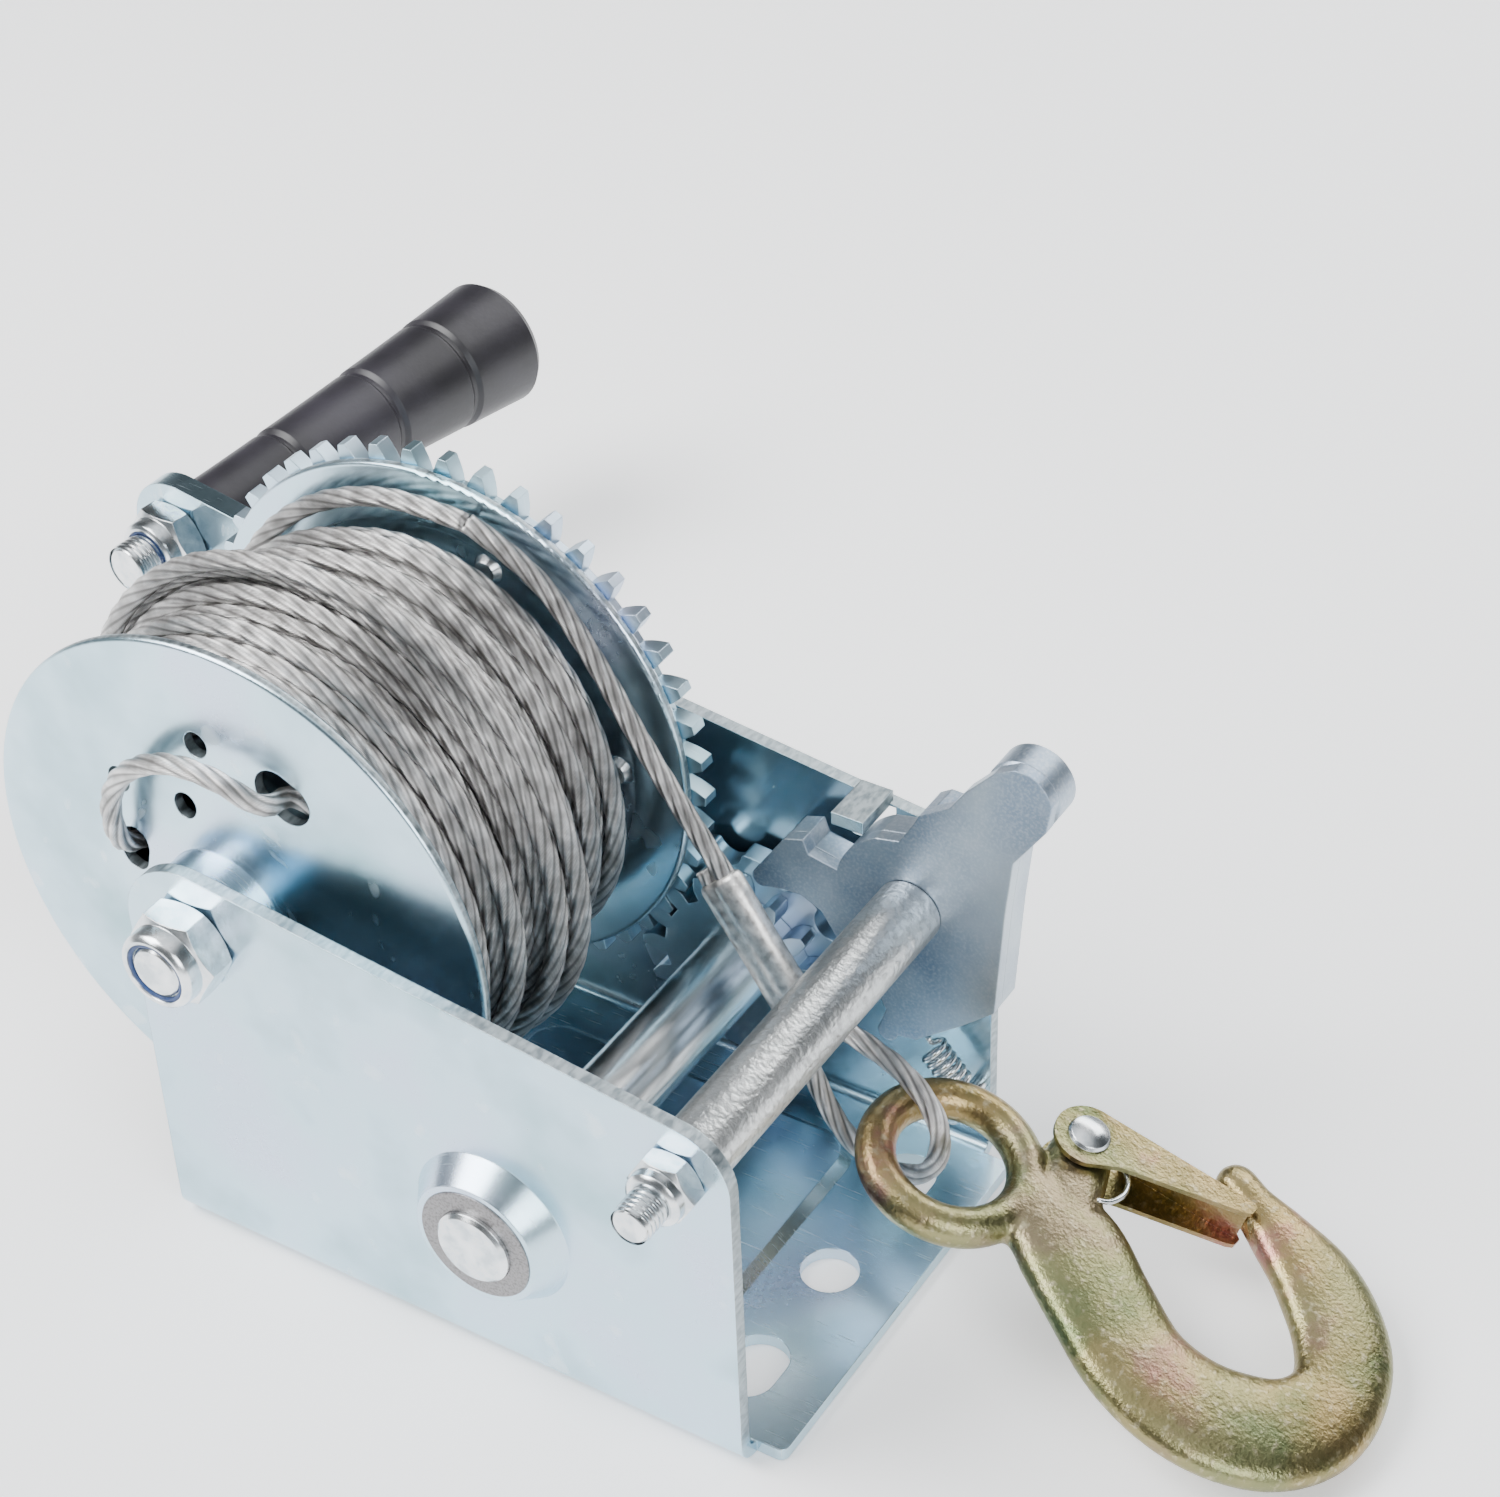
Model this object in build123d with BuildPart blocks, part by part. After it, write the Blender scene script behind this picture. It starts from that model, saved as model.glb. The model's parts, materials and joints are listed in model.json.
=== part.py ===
"""Hand-cranked boat trailer winch with a wound steel rope and a latched hook.

Frame of the model, in millimetres: +Z up, the base stands on Z = 0, the rope leaves towards +X
and the drum, pinion shaft and tie bolt run along Y, with the crank on the +Y side. The origin is
the middle of the base plate's underside.
"""
from build123d import *
from math import acos, atan2, cos, degrees, hypot, pi, radians, sin, tan
import os

# Frame: one folded sheet, a base with two cheeks
sheet = 3.0              # sheet thickness
frame_width = 105.0      # over both cheeks
front_x = 70.0           # front edge of the cheeks
base_front = 76.4        # front edge of the base
base_rear = -75.4        # rear edge of the base
bend_inner = 2.5         # inside radius of the folds
lug_radius = 16.4        # rounded top of the cheeks around the drum axle
nose_radius = 12.5       # rounded front corner of the cheeks around the tie bolt
drum_x, drum_z = -56.0, 84.0
tie_x, tie_z = 57.5, 74.2
slot_half_width, slot_length, slot_spread = 6.3, 17.5, 61.0
hole_radius = 6.3
bolt_row_x = (-58.0, 59.0)
tab_x, tab_z = (-19.5, -12.0), (13.5, 16.5)   # stop tab, from the tie bolt
tab_reach, window_x, window_height = 11.0, (-21.0, -10.5), 10.5
bead_x = (-38.0, 47.0)   # raised panel of the base
bead_half_width, bead_height, bead_corner = 36.0, 2.0, 9.0
boss_radius, boss_rim, boss_height = 18.3, 14.3, 6.0   # foot and rim of the drawn bosses
bush_radius, bush_flange, bush_sunk = 11.5, 12.9, 1.5
bush_proud, shaft_proud = 0.3, 1.6

# Gearing
module = 2.75
gear_teeth, pinion_teeth = 45, 15
pressure_angle = 20.0
backlash = 0.25
centre_angle = -33.0     # from the drum axis down to the pinion axis
gear_width, pinion_width = 4.0, 5.0
centre_distance = module * (gear_teeth + pinion_teeth) / 2
shaft_x = drum_x + centre_distance * cos(radians(centre_angle))
shaft_z = drum_z + centre_distance * sin(radians(centre_angle))
shaft_radius, shaft_step = 8.5, 6.0
run_gap = 0.05           # radial clearance of every running fit
face_gap = 0.2           # gap between faces that turn past each other

# Drum
flange_margin = 0.375    # from the gear's pitch circle in to the edge of the flanges
flange_radius, flange_sheet = module * gear_teeth / 2 - flange_margin, 2.5
near_flange_gap, far_flange_gap = 10.8, 15.3   # from the insides of the cheeks
cone_depth = 3.0         # hollow of the near flange, from its edge to its bore
hub_radius, hub_wall = 32.0, 2.0
sleeve_radius = 14.5
axle_tube_radius = 8.0
axle_bolt_radius = 6.0
dish_radius, dish_depth = 50.0, 1.8
rivet_circle, rivet_radius, rivet_count = 43.5, 3.6, 5
rope_hole = (37.9, 62.8)      # radius and angle on the near flange
end_hole = (24.3, 166.0)
small_holes = ((39.0, 95.1), (34.0, 139.0), (24.3, 108.4))
small_hole_radius = 2.9

# Rope
rope_d = 4.5
pack_depth, pack_depth_far = 7.5, 11.2   # from the edge of the flanges down to the rope

# Ratchet and pawl
ratchet_teeth, ratchet_radius, ratchet_width = 12, 27.8, 5.0
gap_radius, gap_circle = 4.3, 28.3
pawl_gap, pawl_plate_t, pawl_core_t = 13.0, 3.0, 6.0   # gap from the inside of the cheek
claw_reach, claw_radius = 36.05, 2.3
claw_half_angle, claw_rest_angle = 36.0, 29.0
notch_radius = 17.5
tie_bolt_radius, tie_tube_radius = 4.0, 7.3

# Crank and grip
crank_length, crank_angle = 198.0, 175.5
arm_width, arm_thick = 30.0, 6.0
arm_root_gap, arm_knee = 15.0, (22.0, 62.0)   # gap from the outside of the cheek
arm_knee_rise, arm_slope = 14.0, 5.8
grip_length, grip_r0, grip_r1 = 113.0, 10.2, 13.4
grip_grooves = (0.26, 0.55, 0.785)   # ring grooves, as shares of the grip's length
grip_bolt_radius = 6.0

# Hook
hook_tilt = 18.0
eye_centre = (81.2, 11.8, 35.4)
eye_ring, eye_bar = 16.0, 4.3
hook_thick = 9.0
latch_sheet, latch_gap = 1.2, 0.5
latch_pivot = (19.6, 21.1)
latch_end = (54.5, 27.5)

half_width = frame_width / 2
inner_y = half_width - sheet
near_flange_y = -inner_y + near_flange_gap
far_flange_y = inner_y - far_flange_gap
pack_radius = flange_radius - pack_depth
pack_radius_far = flange_radius - pack_depth_far
pawl_front_y = inner_y - pawl_gap
arm_root_y = half_width + arm_root_gap
gear_y = far_flange_y + flange_sheet
pinion_y = gear_y + 0.4
ratchet_y = pinion_y + pinion_width + 0.1
os.makedirs("parts", exist_ok=True)


def upright(y, x=0.0, z=0.0):
    """Sketch plane facing -Y at the given y, with local x = +X and local y = +Z."""
    return Plane(origin=(x, y, z), x_dir=(1, 0, 0), z_dir=(0, -1, 0))


def save(builder, name):
    """Label a finished piece and write it to its STEP file."""
    builder.part.label = name
    export_step(builder.part, f"parts/{name}.step")


def ring(name, x, z, y0, y1, outer, inner=0.0, soft=0.0):
    """A plain ring or pin along Y between y0 and y1."""
    with BuildPart() as piece:
        with BuildSketch(upright(y0, x, z)):
            Circle(outer)
            if inner:
                Circle(inner, mode=Mode.SUBTRACT)
        extrude(amount=-(y1 - y0))
        if soft:
            ends = piece.edges().filter_by(GeomType.CIRCLE).group_by(SortBy.RADIUS)[-1]
            chamfer(ends, soft)
    save(piece, name)
    return piece


def locknut(name, base, across, height, bore):
    """Hexagon lock nut: a chamfered hexagon with a domed collar, standing on the plane base."""
    with BuildPart() as piece:
        with BuildSketch(base):
            RegularPolygon(across / 2, 6, major_radius=False)
        extrude(amount=height * 0.66)
        with BuildSketch(base):
            Circle(across * 0.552)
        extrude(amount=height * 0.66, taper=10, mode=Mode.INTERSECT)
        with BuildSketch(base.offset(height * 0.60)):
            Circle(across * 0.445)
        extrude(amount=height * 0.40)
        top = piece.faces().sort_by(Axis(base.origin, base.z_dir))[-1]
        fillet(top.edges(), height * 0.12)
        with BuildSketch(base):
            Circle(bore)
        extrude(amount=height, mode=Mode.SUBTRACT)
    save(piece, name)


def hex_bolt(name, seat, across, head, length, radius):
    """Bolt whose head stands on the plane seat and whose shank runs back along -seat.z_dir."""
    with BuildPart() as piece:
        with BuildSketch(seat):
            RegularPolygon(across / 2, 6, major_radius=False)
        extrude(amount=head)
        with BuildSketch(seat):
            Circle(across * 0.56)
        extrude(amount=head, taper=12, mode=Mode.INTERSECT)
        with BuildSketch(seat):
            Circle(radius)
        extrude(amount=-length)
        tip = piece.faces().sort_by(Axis(seat.origin, seat.z_dir))[0]
        chamfer(tip.edges(), radius * 0.14)
    save(piece, name)


def gear_outline(teeth, thinning, clearance, turn):
    """One closed face of involute teeth; the flanks are involutes of the base circle."""
    pitch_r = module * teeth / 2
    base_r = pitch_r * cos(radians(pressure_angle))
    tip_r = pitch_r + 0.95 * module
    root_r = pitch_r - (1.0 + clearance) * module
    half_tooth = pi / 2 / teeth - thinning / 2 / pitch_r
    start = tan(radians(pressure_angle)) - radians(pressure_angle)

    def flank(radius, side, tooth):
        roll = acos(min(1.0, base_r / radius))
        spread = half_tooth + start - (tan(roll) - roll)
        angle = radians(turn) + 2 * pi * tooth / teeth + side * spread
        return (radius * cos(angle), radius * sin(angle))

    low_r = max(base_r + 0.02, root_r + 0.3)
    radii = [low_r + (tip_r - low_r) * k / 3 for k in range(4)]
    with BuildSketch(Plane.XY) as face:
        with BuildLine():
            for tooth in range(teeth):
                rise = [flank(radius, -1, tooth) for radius in radii]
                fall = [flank(radius, 1, tooth) for radius in reversed(radii)]
                nxt = flank(low_r, -1, tooth + 1)
                fall_angle = atan2(fall[-1][1], fall[-1][0])
                next_angle = atan2(nxt[1], nxt[0])
                foot = (root_r * cos(fall_angle), root_r * sin(fall_angle))
                toe = (root_r * cos(next_angle), root_r * sin(next_angle))
                Spline(*rise)
                Line(rise[-1], fall[0])
                Spline(*fall)
                Polyline(fall[-1], foot, toe, nxt)
        make_face()
    return face.sketch


def toothed_disc(name, x, z, y0, width, outline, bore, recess=0.0):
    """Extrude a tooth outline along +Y from y0 and bore it."""
    with BuildPart() as piece:
        with BuildSketch(upright(y0, x, z)):
            add(outline)
        extrude(amount=-width)
        with BuildSketch(upright(y0, x, z)):
            Circle(bore)
        extrude(amount=-width, mode=Mode.SUBTRACT)
        if recess:
            with BuildSketch(upright(y0, x, z)):
                Circle(dish_radius)
            extrude(amount=-recess, mode=Mode.SUBTRACT)
    save(piece, name)


# ---- frame ----------------------------------------------------------------------------------
cheek_height = drum_z + lug_radius + 5
with BuildPart() as frame:
    with BuildSketch(Plane.YZ.offset(drum_x - lug_radius)):
        with Locations((0, cheek_height / 2)):
            Rectangle(frame_width, cheek_height)
        with Locations((0, cheek_height / 2 + sheet)):
            Rectangle(frame_width - 2 * sheet, cheek_height, mode=Mode.SUBTRACT)
    extrude(amount=front_x - drum_x + lug_radius)
    outer_folds = frame.edges().filter_by(Axis.X).filter_by(lambda e: abs(e.center().Z) < 0.1)
    fillet(outer_folds, bend_inner + sheet)
    inner_folds = frame.edges().filter_by(Axis.X).filter_by(
        lambda e: abs(e.center().Z - sheet) < 0.1 and abs(abs(e.center().Y) - inner_y) < 0.1)
    fillet(inner_folds, bend_inner)
    with BuildSketch(upright(-half_width)):
        with Locations((drum_x, drum_z)):
            Circle(lug_radius)
        with Locations((tie_x, tie_z)):
            Circle(nose_radius)
        with Locations(((front_x + drum_x - lug_radius) / 2, 0.5)):
            Rectangle(front_x - drum_x + lug_radius, 1)
        make_hull()
    extrude(amount=-frame_width, mode=Mode.INTERSECT)
    # the base runs past the cheeks at both ends, between the fold reliefs
    with BuildSketch(Plane.XY):
        with Locations(((base_front + base_rear) / 2, 0)):
            RectangleRounded(base_front - base_rear, frame_width - 2 * (bend_inner + sheet), 2.0)
    extrude(amount=sheet)
    # raised panel
    bead_length = bead_x[1] - bead_x[0]
    bead_mid = (bead_x[1] + bead_x[0]) / 2
    with BuildSketch(Plane.XY.offset(sheet)):
        with Locations((bead_mid, 0)):
            RectangleRounded(bead_length, 2 * bead_half_width, bead_corner)
    extrude(amount=bead_height, taper=50)
    with BuildSketch(Plane.XY):
        with Locations((bead_mid, 0)):
            RectangleRounded(bead_length - 2.4, 2 * bead_half_width - 2.4, bead_corner - 1.2)
    extrude(amount=bead_height, taper=50, mode=Mode.SUBTRACT)
    # mounting slots and round holes
    with BuildSketch(Plane.XY):
        for row_x in bolt_row_x:
            with Locations((row_x, -slot_spread / 2), (row_x, slot_spread / 2)):
                SlotOverall(slot_length, 2 * slot_half_width, rotation=90)
            with Locations((row_x, 0)):
                Circle(hole_radius)
    extrude(amount=sheet, mode=Mode.SUBTRACT)
    # drawn bosses for the shaft bushes
    for side in (-1, 1):
        with BuildSketch(Plane(origin=(shaft_x, side * half_width, shaft_z), x_dir=(1, 0, 0),
                               z_dir=(0, side, 0))):
            Circle(boss_radius)
        extrude(amount=boss_height,
                taper=degrees(atan2(boss_radius - boss_rim, boss_height)))
    with BuildSketch(upright(-half_width - boss_height, shaft_x, shaft_z)):
        Circle(bush_radius)
    extrude(amount=-(frame_width + 2 * boss_height), mode=Mode.SUBTRACT)
    for side in (-1, 1):
        with BuildSketch(Plane(origin=(shaft_x, side * (half_width + boss_height), shaft_z),
                               x_dir=(1, 0, 0), z_dir=(0, -side, 0))):
            Circle(bush_flange)
        extrude(amount=bush_sunk, mode=Mode.SUBTRACT)
    # bolt holes
    with BuildSketch(upright(-half_width)):
        with Locations((drum_x, drum_z)):
            Circle(axle_bolt_radius + 0.1)
        with Locations((tie_x, tie_z)):
            Circle(tie_bolt_radius + 0.1)
    extrude(amount=-frame_width, mode=Mode.SUBTRACT)
    # stop tab bent in from the far cheek above the pawl, out of the window below it
    with BuildSketch(upright(inner_y)):
        with Locations((tie_x + (window_x[0] + window_x[1]) / 2,
                        tie_z + tab_z[0] - window_height / 2)):
            Rectangle(window_x[1] - window_x[0], window_height)
    extrude(amount=-sheet, mode=Mode.SUBTRACT)
    with BuildSketch(upright(inner_y - tab_reach)):
        with Locations((tie_x + (tab_x[0] + tab_x[1]) / 2, tie_z + (tab_z[0] + tab_z[1]) / 2)):
            Rectangle(tab_x[1] - tab_x[0], tab_z[1] - tab_z[0])
    extrude(amount=-(tab_reach + sheet / 2))
save(frame, "frame")

# ---- drum axle ------------------------------------------------------------------------------
axle_seat = Plane(origin=(drum_x, half_width, drum_z), x_dir=(1, 0, 0), z_dir=(0, 1, 0))
hex_bolt("drum_axle_bolt", axle_seat, 19.0, 7.5, frame_width + 11.6, axle_bolt_radius)
near_axle = Plane(origin=(drum_x, -half_width, drum_z), x_dir=(1, 0, 0.3), z_dir=(0, -1, 0))
locknut("drum_axle_nut", near_axle, 19.0, 12.0, axle_bolt_radius)
ring("drum_axle_tube", drum_x, drum_z, -inner_y, inner_y, axle_tube_radius,
     axle_bolt_radius + 0.1)

# ---- drum -----------------------------------------------------------------------------------
ring("drum_sleeve", drum_x, drum_z, -inner_y + face_gap, inner_y - face_gap, sleeve_radius,
     axle_tube_radius + run_gap)


def cone_fall(radius):
    """How far the near flange stands out at a radius: a shallow bowl, level at its edge."""
    bowl = ((flange_radius - sleeve_radius) ** 2 + cone_depth ** 2) / (2 * cone_depth)
    return bowl - (bowl ** 2 - (flange_radius - radius) ** 2) ** 0.5


ring("drum_hub", drum_x, drum_z, near_flange_y + flange_sheet - cone_fall(hub_radius),
     far_flange_y + dish_depth, hub_radius, hub_radius - hub_wall)


def polar(radius, angle):
    """Point on the drum's face from a radius and an angle in degrees."""
    return (radius * cos(radians(angle)), radius * sin(radians(angle)))


with BuildPart() as near_flange:
    bowl_mid = (flange_radius + sleeve_radius) / 2
    with BuildSketch(Plane(origin=(drum_x, 0, drum_z), x_dir=(0, 1, 0), z_dir=(1, 0, 0))):
        with BuildLine():
            for y in (near_flange_y, near_flange_y + flange_sheet):
                ThreePointArc((y - cone_depth, sleeve_radius),
                              (y - cone_fall(bowl_mid), bowl_mid), (y, flange_radius))
            Line((near_flange_y, flange_radius), (near_flange_y + flange_sheet, flange_radius))
            Line((near_flange_y - cone_depth, sleeve_radius),
                 (near_flange_y + flange_sheet - cone_depth, sleeve_radius))
        make_face()
    revolve(axis=Axis((drum_x, 0, drum_z), (0, 1, 0)))
    with BuildSketch(upright(near_flange_y - cone_depth, drum_x, drum_z)):
        with Locations(*[polar(*spot) for spot in small_holes]):
            Circle(small_hole_radius)
        with Locations(Location((*polar(*rope_hole), 0), (0, 0, rope_hole[1] + 90))):
            SlotOverall(rope_d * 3.0, rope_d * 2.1)
        with Locations(Location((*polar(*end_hole), 0), (0, 0, end_hole[1] + 90))):
            SlotOverall(rope_d * 2.4, rope_d * 1.7)
    extrude(amount=-(flange_sheet + cone_depth), mode=Mode.SUBTRACT)
    rim = near_flange.edges().filter_by(GeomType.CIRCLE).filter_by(
        lambda e: e.radius > flange_radius - 0.1)
    fillet(rim, 0.9)
save(near_flange, "near_flange")

with BuildPart() as far_flange:
    with BuildSketch(upright(far_flange_y, drum_x, drum_z)):
        Circle(flange_radius)
    extrude(amount=-flange_sheet)
    with BuildSketch(upright(far_flange_y + flange_sheet, drum_x, drum_z)):
        Circle(dish_radius - 0.1)
    extrude(amount=-dish_depth)
    with BuildSketch(upright(far_flange_y, drum_x, drum_z)):
        Circle(dish_radius - 1.6)
    extrude(amount=-dish_depth, taper=20, mode=Mode.SUBTRACT)
    with BuildSketch(upright(far_flange_y, drum_x, drum_z)):
        Circle(sleeve_radius)
        with PolarLocations(rivet_circle, rivet_count):
            Circle(rivet_radius * 0.5)
    extrude(amount=-(flange_sheet + dish_depth), mode=Mode.SUBTRACT)
    rim = far_flange.edges().filter_by(GeomType.CIRCLE).filter_by(
        lambda e: e.radius > flange_radius - 0.1)
    fillet(rim, 0.9)
save(far_flange, "far_flange")

gear_face = gear_outline(gear_teeth, backlash, 0.25, centre_angle)
with BuildPart() as drum_gear:
    with BuildSketch(upright(gear_y, drum_x, drum_z)):
        add(gear_face)
        Circle(sleeve_radius, mode=Mode.SUBTRACT)
        with PolarLocations(rivet_circle, rivet_count):
            Circle(rivet_radius * 0.5, mode=Mode.SUBTRACT)
    extrude(amount=-gear_width)
    with BuildSketch(upright(gear_y, drum_x, drum_z)):
        Circle(dish_radius)
    extrude(amount=-dish_depth, mode=Mode.SUBTRACT)
save(drum_gear, "drum_gear")

with BuildPart() as gear_rivets:
    head_y = far_flange_y + dish_depth
    with BuildSketch(upright(head_y, drum_x, drum_z)):
        with PolarLocations(rivet_circle, rivet_count):
            Circle(rivet_radius * 0.5)
    extrude(amount=-(gear_y + gear_width - head_y))
    with BuildSketch(upright(head_y, drum_x, drum_z)):
        with PolarLocations(rivet_circle, rivet_count):
            Circle(rivet_radius)
    extrude(amount=1.7, taper=35)
    with BuildSketch(upright(gear_y + gear_width, drum_x, drum_z)):
        with PolarLocations(rivet_circle, rivet_count):
            Circle(rivet_radius)
    extrude(amount=-0.9, taper=30)
save(gear_rivets, "gear_rivets")

# ---- pinion shaft ---------------------------------------------------------------------------
shaft_near = -half_width - boss_height - bush_proud - shaft_proud
shaft_far = arm_root_y - arm_thick / 2
shaft_end = arm_root_y + arm_thick / 2 + 12.0
with BuildPart() as pinion_shaft:
    with BuildSketch(upright(shaft_near, shaft_x, shaft_z)):
        Circle(shaft_radius)
    extrude(amount=-(shaft_far - shaft_near))
    with BuildSketch(upright(shaft_far, shaft_x, shaft_z)):
        Circle(shaft_step)
    extrude(amount=-(shaft_end - shaft_far))
    ends = pinion_shaft.edges().filter_by(GeomType.CIRCLE).sort_by(Axis.Y)
    chamfer([ends[0], ends[-1]], 0.8)
save(pinion_shaft, "pinion_shaft")

pinion_phase = centre_angle + 180.0 + 180.0 / pinion_teeth
pinion_face = gear_outline(pinion_teeth, backlash, 0.2, pinion_phase)
toothed_disc("pinion", shaft_x, shaft_z, pinion_y, pinion_width, pinion_face, shaft_radius)

tie_angle = degrees(atan2(tie_z - shaft_z, tie_x - shaft_x))
with BuildPart() as ratchet_wheel:
    with BuildSketch(upright(ratchet_y, shaft_x, shaft_z)):
        Circle(ratchet_radius)
        with PolarLocations(gap_circle, ratchet_teeth, start_angle=tie_angle):
            Circle(gap_radius, mode=Mode.SUBTRACT)
        Circle(shaft_radius, mode=Mode.SUBTRACT)
    extrude(amount=-ratchet_width)
    tips = ratchet_wheel.edges().filter_by(Axis.Y).filter_by(
        lambda e: hypot(e.center().X - shaft_x, e.center().Z - shaft_z) > ratchet_radius - 0.3)
    fillet(tips, 0.7)
save(ratchet_wheel, "ratchet_wheel")

for side, name in ((-1, "shaft_bush_near"), (1, "shaft_bush_far")):
    with BuildPart() as bush:
        seat = Plane(origin=(shaft_x, side * (half_width + boss_height - bush_sunk), shaft_z),
                     x_dir=(1, 0, 0), z_dir=(0, side, 0))
        with BuildSketch(seat):
            Circle(bush_flange)
        extrude(amount=bush_sunk + bush_proud)
        with BuildSketch(seat):
            Circle(bush_radius)
        extrude(amount=-(boss_height - bush_sunk + sheet))
        with BuildSketch(seat.offset(bush_sunk + bush_proud)):
            Circle(shaft_radius + run_gap)
        extrude(amount=-(boss_height + sheet + bush_proud), mode=Mode.SUBTRACT)
        lip = bush.edges().filter_by(GeomType.CIRCLE).filter_by(
            lambda e: abs(e.radius - bush_flange) < 0.01
            and abs(e.center().Y) > half_width + boss_height)
        fillet(lip, bush_proud * 0.6)
    save(bush, name)

# ---- crank ----------------------------------------------------------------------------------
arm_dir = Vector(cos(radians(crank_angle)), 0, sin(radians(crank_angle)))
arm_side = arm_dir.cross(Vector(0, 1, 0))
slope = radians(arm_slope)
knee_y = arm_root_y + arm_knee_rise
end_y = knee_y + (crank_length - arm_knee[1]) * tan(slope)
grip_axis = arm_dir * (-sin(slope)) + Vector(0, 1, 0) * cos(slope)
grip_root = Vector(shaft_x, end_y, shaft_z) + arm_dir * crank_length
profile_plane = Plane(origin=(shaft_x, 0, shaft_z), x_dir=arm_dir, z_dir=arm_side)
arm_half = arm_width / 2
with BuildPart() as crank_arm:
    with BuildSketch(profile_plane):
        with BuildLine() as arm_line:
            FilletPolyline((-arm_half, arm_root_y), (arm_knee[0], arm_root_y),
                           (arm_knee[1], knee_y),
                           (crank_length + arm_half, end_y + arm_half * tan(slope)), radius=14)
        trace(line_width=arm_thick)
    extrude(amount=arm_half, both=True)
    with BuildSketch(Plane(origin=(shaft_x, 0, shaft_z), x_dir=arm_dir, z_dir=(0, 1, 0))):
        Circle(arm_half)
        with Locations((crank_length, 0)):
            Circle(arm_half)
        make_hull()
    extrude(amount=end_y + 20, mode=Mode.INTERSECT)
    with BuildSketch(Plane(origin=(shaft_x, 0, shaft_z), x_dir=arm_dir, z_dir=(0, 1, 0))):
        Circle(shaft_step)
    extrude(amount=end_y + 20, mode=Mode.SUBTRACT)
    with BuildSketch(Plane(origin=grip_root - grip_axis * 15, x_dir=arm_side,
                           z_dir=grip_axis)):
        Circle(grip_bolt_radius)
    extrude(amount=30, mode=Mode.SUBTRACT)
save(crank_arm, "crank_arm")

crank_seat = Plane(origin=(shaft_x, arm_root_y + arm_thick / 2, shaft_z), x_dir=(1, 0, 0),
                   z_dir=(0, 1, 0))
locknut("crank_nut", crank_seat, 19.0, 10.0, shaft_step)
ring("shaft_collar", shaft_x, shaft_z, half_width + boss_height + bush_proud + face_gap,
     shaft_far, 12.0, shaft_radius)

grip_seat = grip_root + grip_axis * (arm_thick / 2)
nut_seat = grip_root - grip_axis * (arm_thick / 2)
nut_plane = Plane(origin=nut_seat, x_dir=arm_dir, z_dir=grip_axis * -1)
locknut("grip_nut", nut_plane, 19.0, 11.0, grip_bolt_radius)
washer_t, head_depth = 1.6, 9.0
with BuildPart() as grip_washer:
    with BuildSketch(Plane(origin=grip_seat, x_dir=arm_side, z_dir=grip_axis)):
        Circle(9.5)
        Circle(grip_bolt_radius, mode=Mode.SUBTRACT)
    extrude(amount=washer_t)
save(grip_washer, "grip_washer")

grip_base = grip_seat + grip_axis * (washer_t + face_gap)
bolt_seat = Plane(origin=grip_base + grip_axis * (grip_length - head_depth + face_gap),
                  x_dir=arm_dir, z_dir=grip_axis)
bolt_length = (grip_length - head_depth + 2 * face_gap) + washer_t + arm_thick + 18.0
with BuildPart() as grip_bolt:
    with BuildSketch(bolt_seat):
        Circle(8.4)
    extrude(amount=6.0)
    with BuildSketch(bolt_seat.offset(6.0)):
        Rectangle(10.0, 1.6)
    extrude(amount=-2.0, mode=Mode.SUBTRACT)
    with BuildSketch(bolt_seat):
        Circle(grip_bolt_radius)
    extrude(amount=-bolt_length)
    tip = grip_bolt.faces().sort_by(Axis(bolt_seat.origin, grip_axis))[0]
    chamfer(tip.edges(), 0.8)
save(grip_bolt, "grip_bolt")

with BuildPart() as grip:
    with BuildSketch(Plane(origin=grip_base, x_dir=grip_axis, z_dir=arm_dir)):
        with BuildLine():
            outline = [(0, grip_bolt_radius + run_gap), (0, grip_r0)]
            for share in grip_grooves:
                along = share * grip_length
                swell = grip_r0 + (grip_r1 - grip_r0) * share
                outline += [(along - 1.8, swell), (along - 0.6, swell - 0.9),
                            (along + 0.6, swell - 0.9), (along + 1.8, swell + 0.3)]
            outline += [(grip_length - 2.0, grip_r1), (grip_length, grip_r1 - 2.0),
                        (grip_length, 8.6), (grip_length - head_depth, 8.6),
                        (grip_length - head_depth, grip_bolt_radius + run_gap)]
            Polyline(*outline, close=True)
        make_face()
    revolve(axis=Axis(grip_base, grip_axis))
save(grip, "grip")

# ---- tie bolt and pawl ----------------------------------------------------------------------
tie_seat = Plane(origin=(tie_x, half_width, tie_z), x_dir=(1, 0, 0.2), z_dir=(0, 1, 0))
hex_bolt("tie_bolt", tie_seat, 13.0, 5.5, frame_width + 15.0, tie_bolt_radius)
near_tie = Plane(origin=(tie_x, -half_width, tie_z), x_dir=(1, 0, 0.2), z_dir=(0, -1, 0))
locknut("tie_nut", near_tie, 13.0, 8.0, tie_bolt_radius)
ring("tie_tube", tie_x, tie_z, -inner_y, pawl_front_y - face_gap, tie_tube_radius,
     tie_bolt_radius + 0.2)
pawl_back_y = pawl_front_y + pawl_plate_t + pawl_core_t
ring("pawl_spacer", tie_x, tie_z, pawl_back_y + face_gap, inner_y, 8.0, tie_bolt_radius + 0.1)

line_angle = tie_angle + 180.0
left_claw = line_angle - claw_rest_angle
right_claw = left_claw + 2 * claw_half_angle


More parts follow.
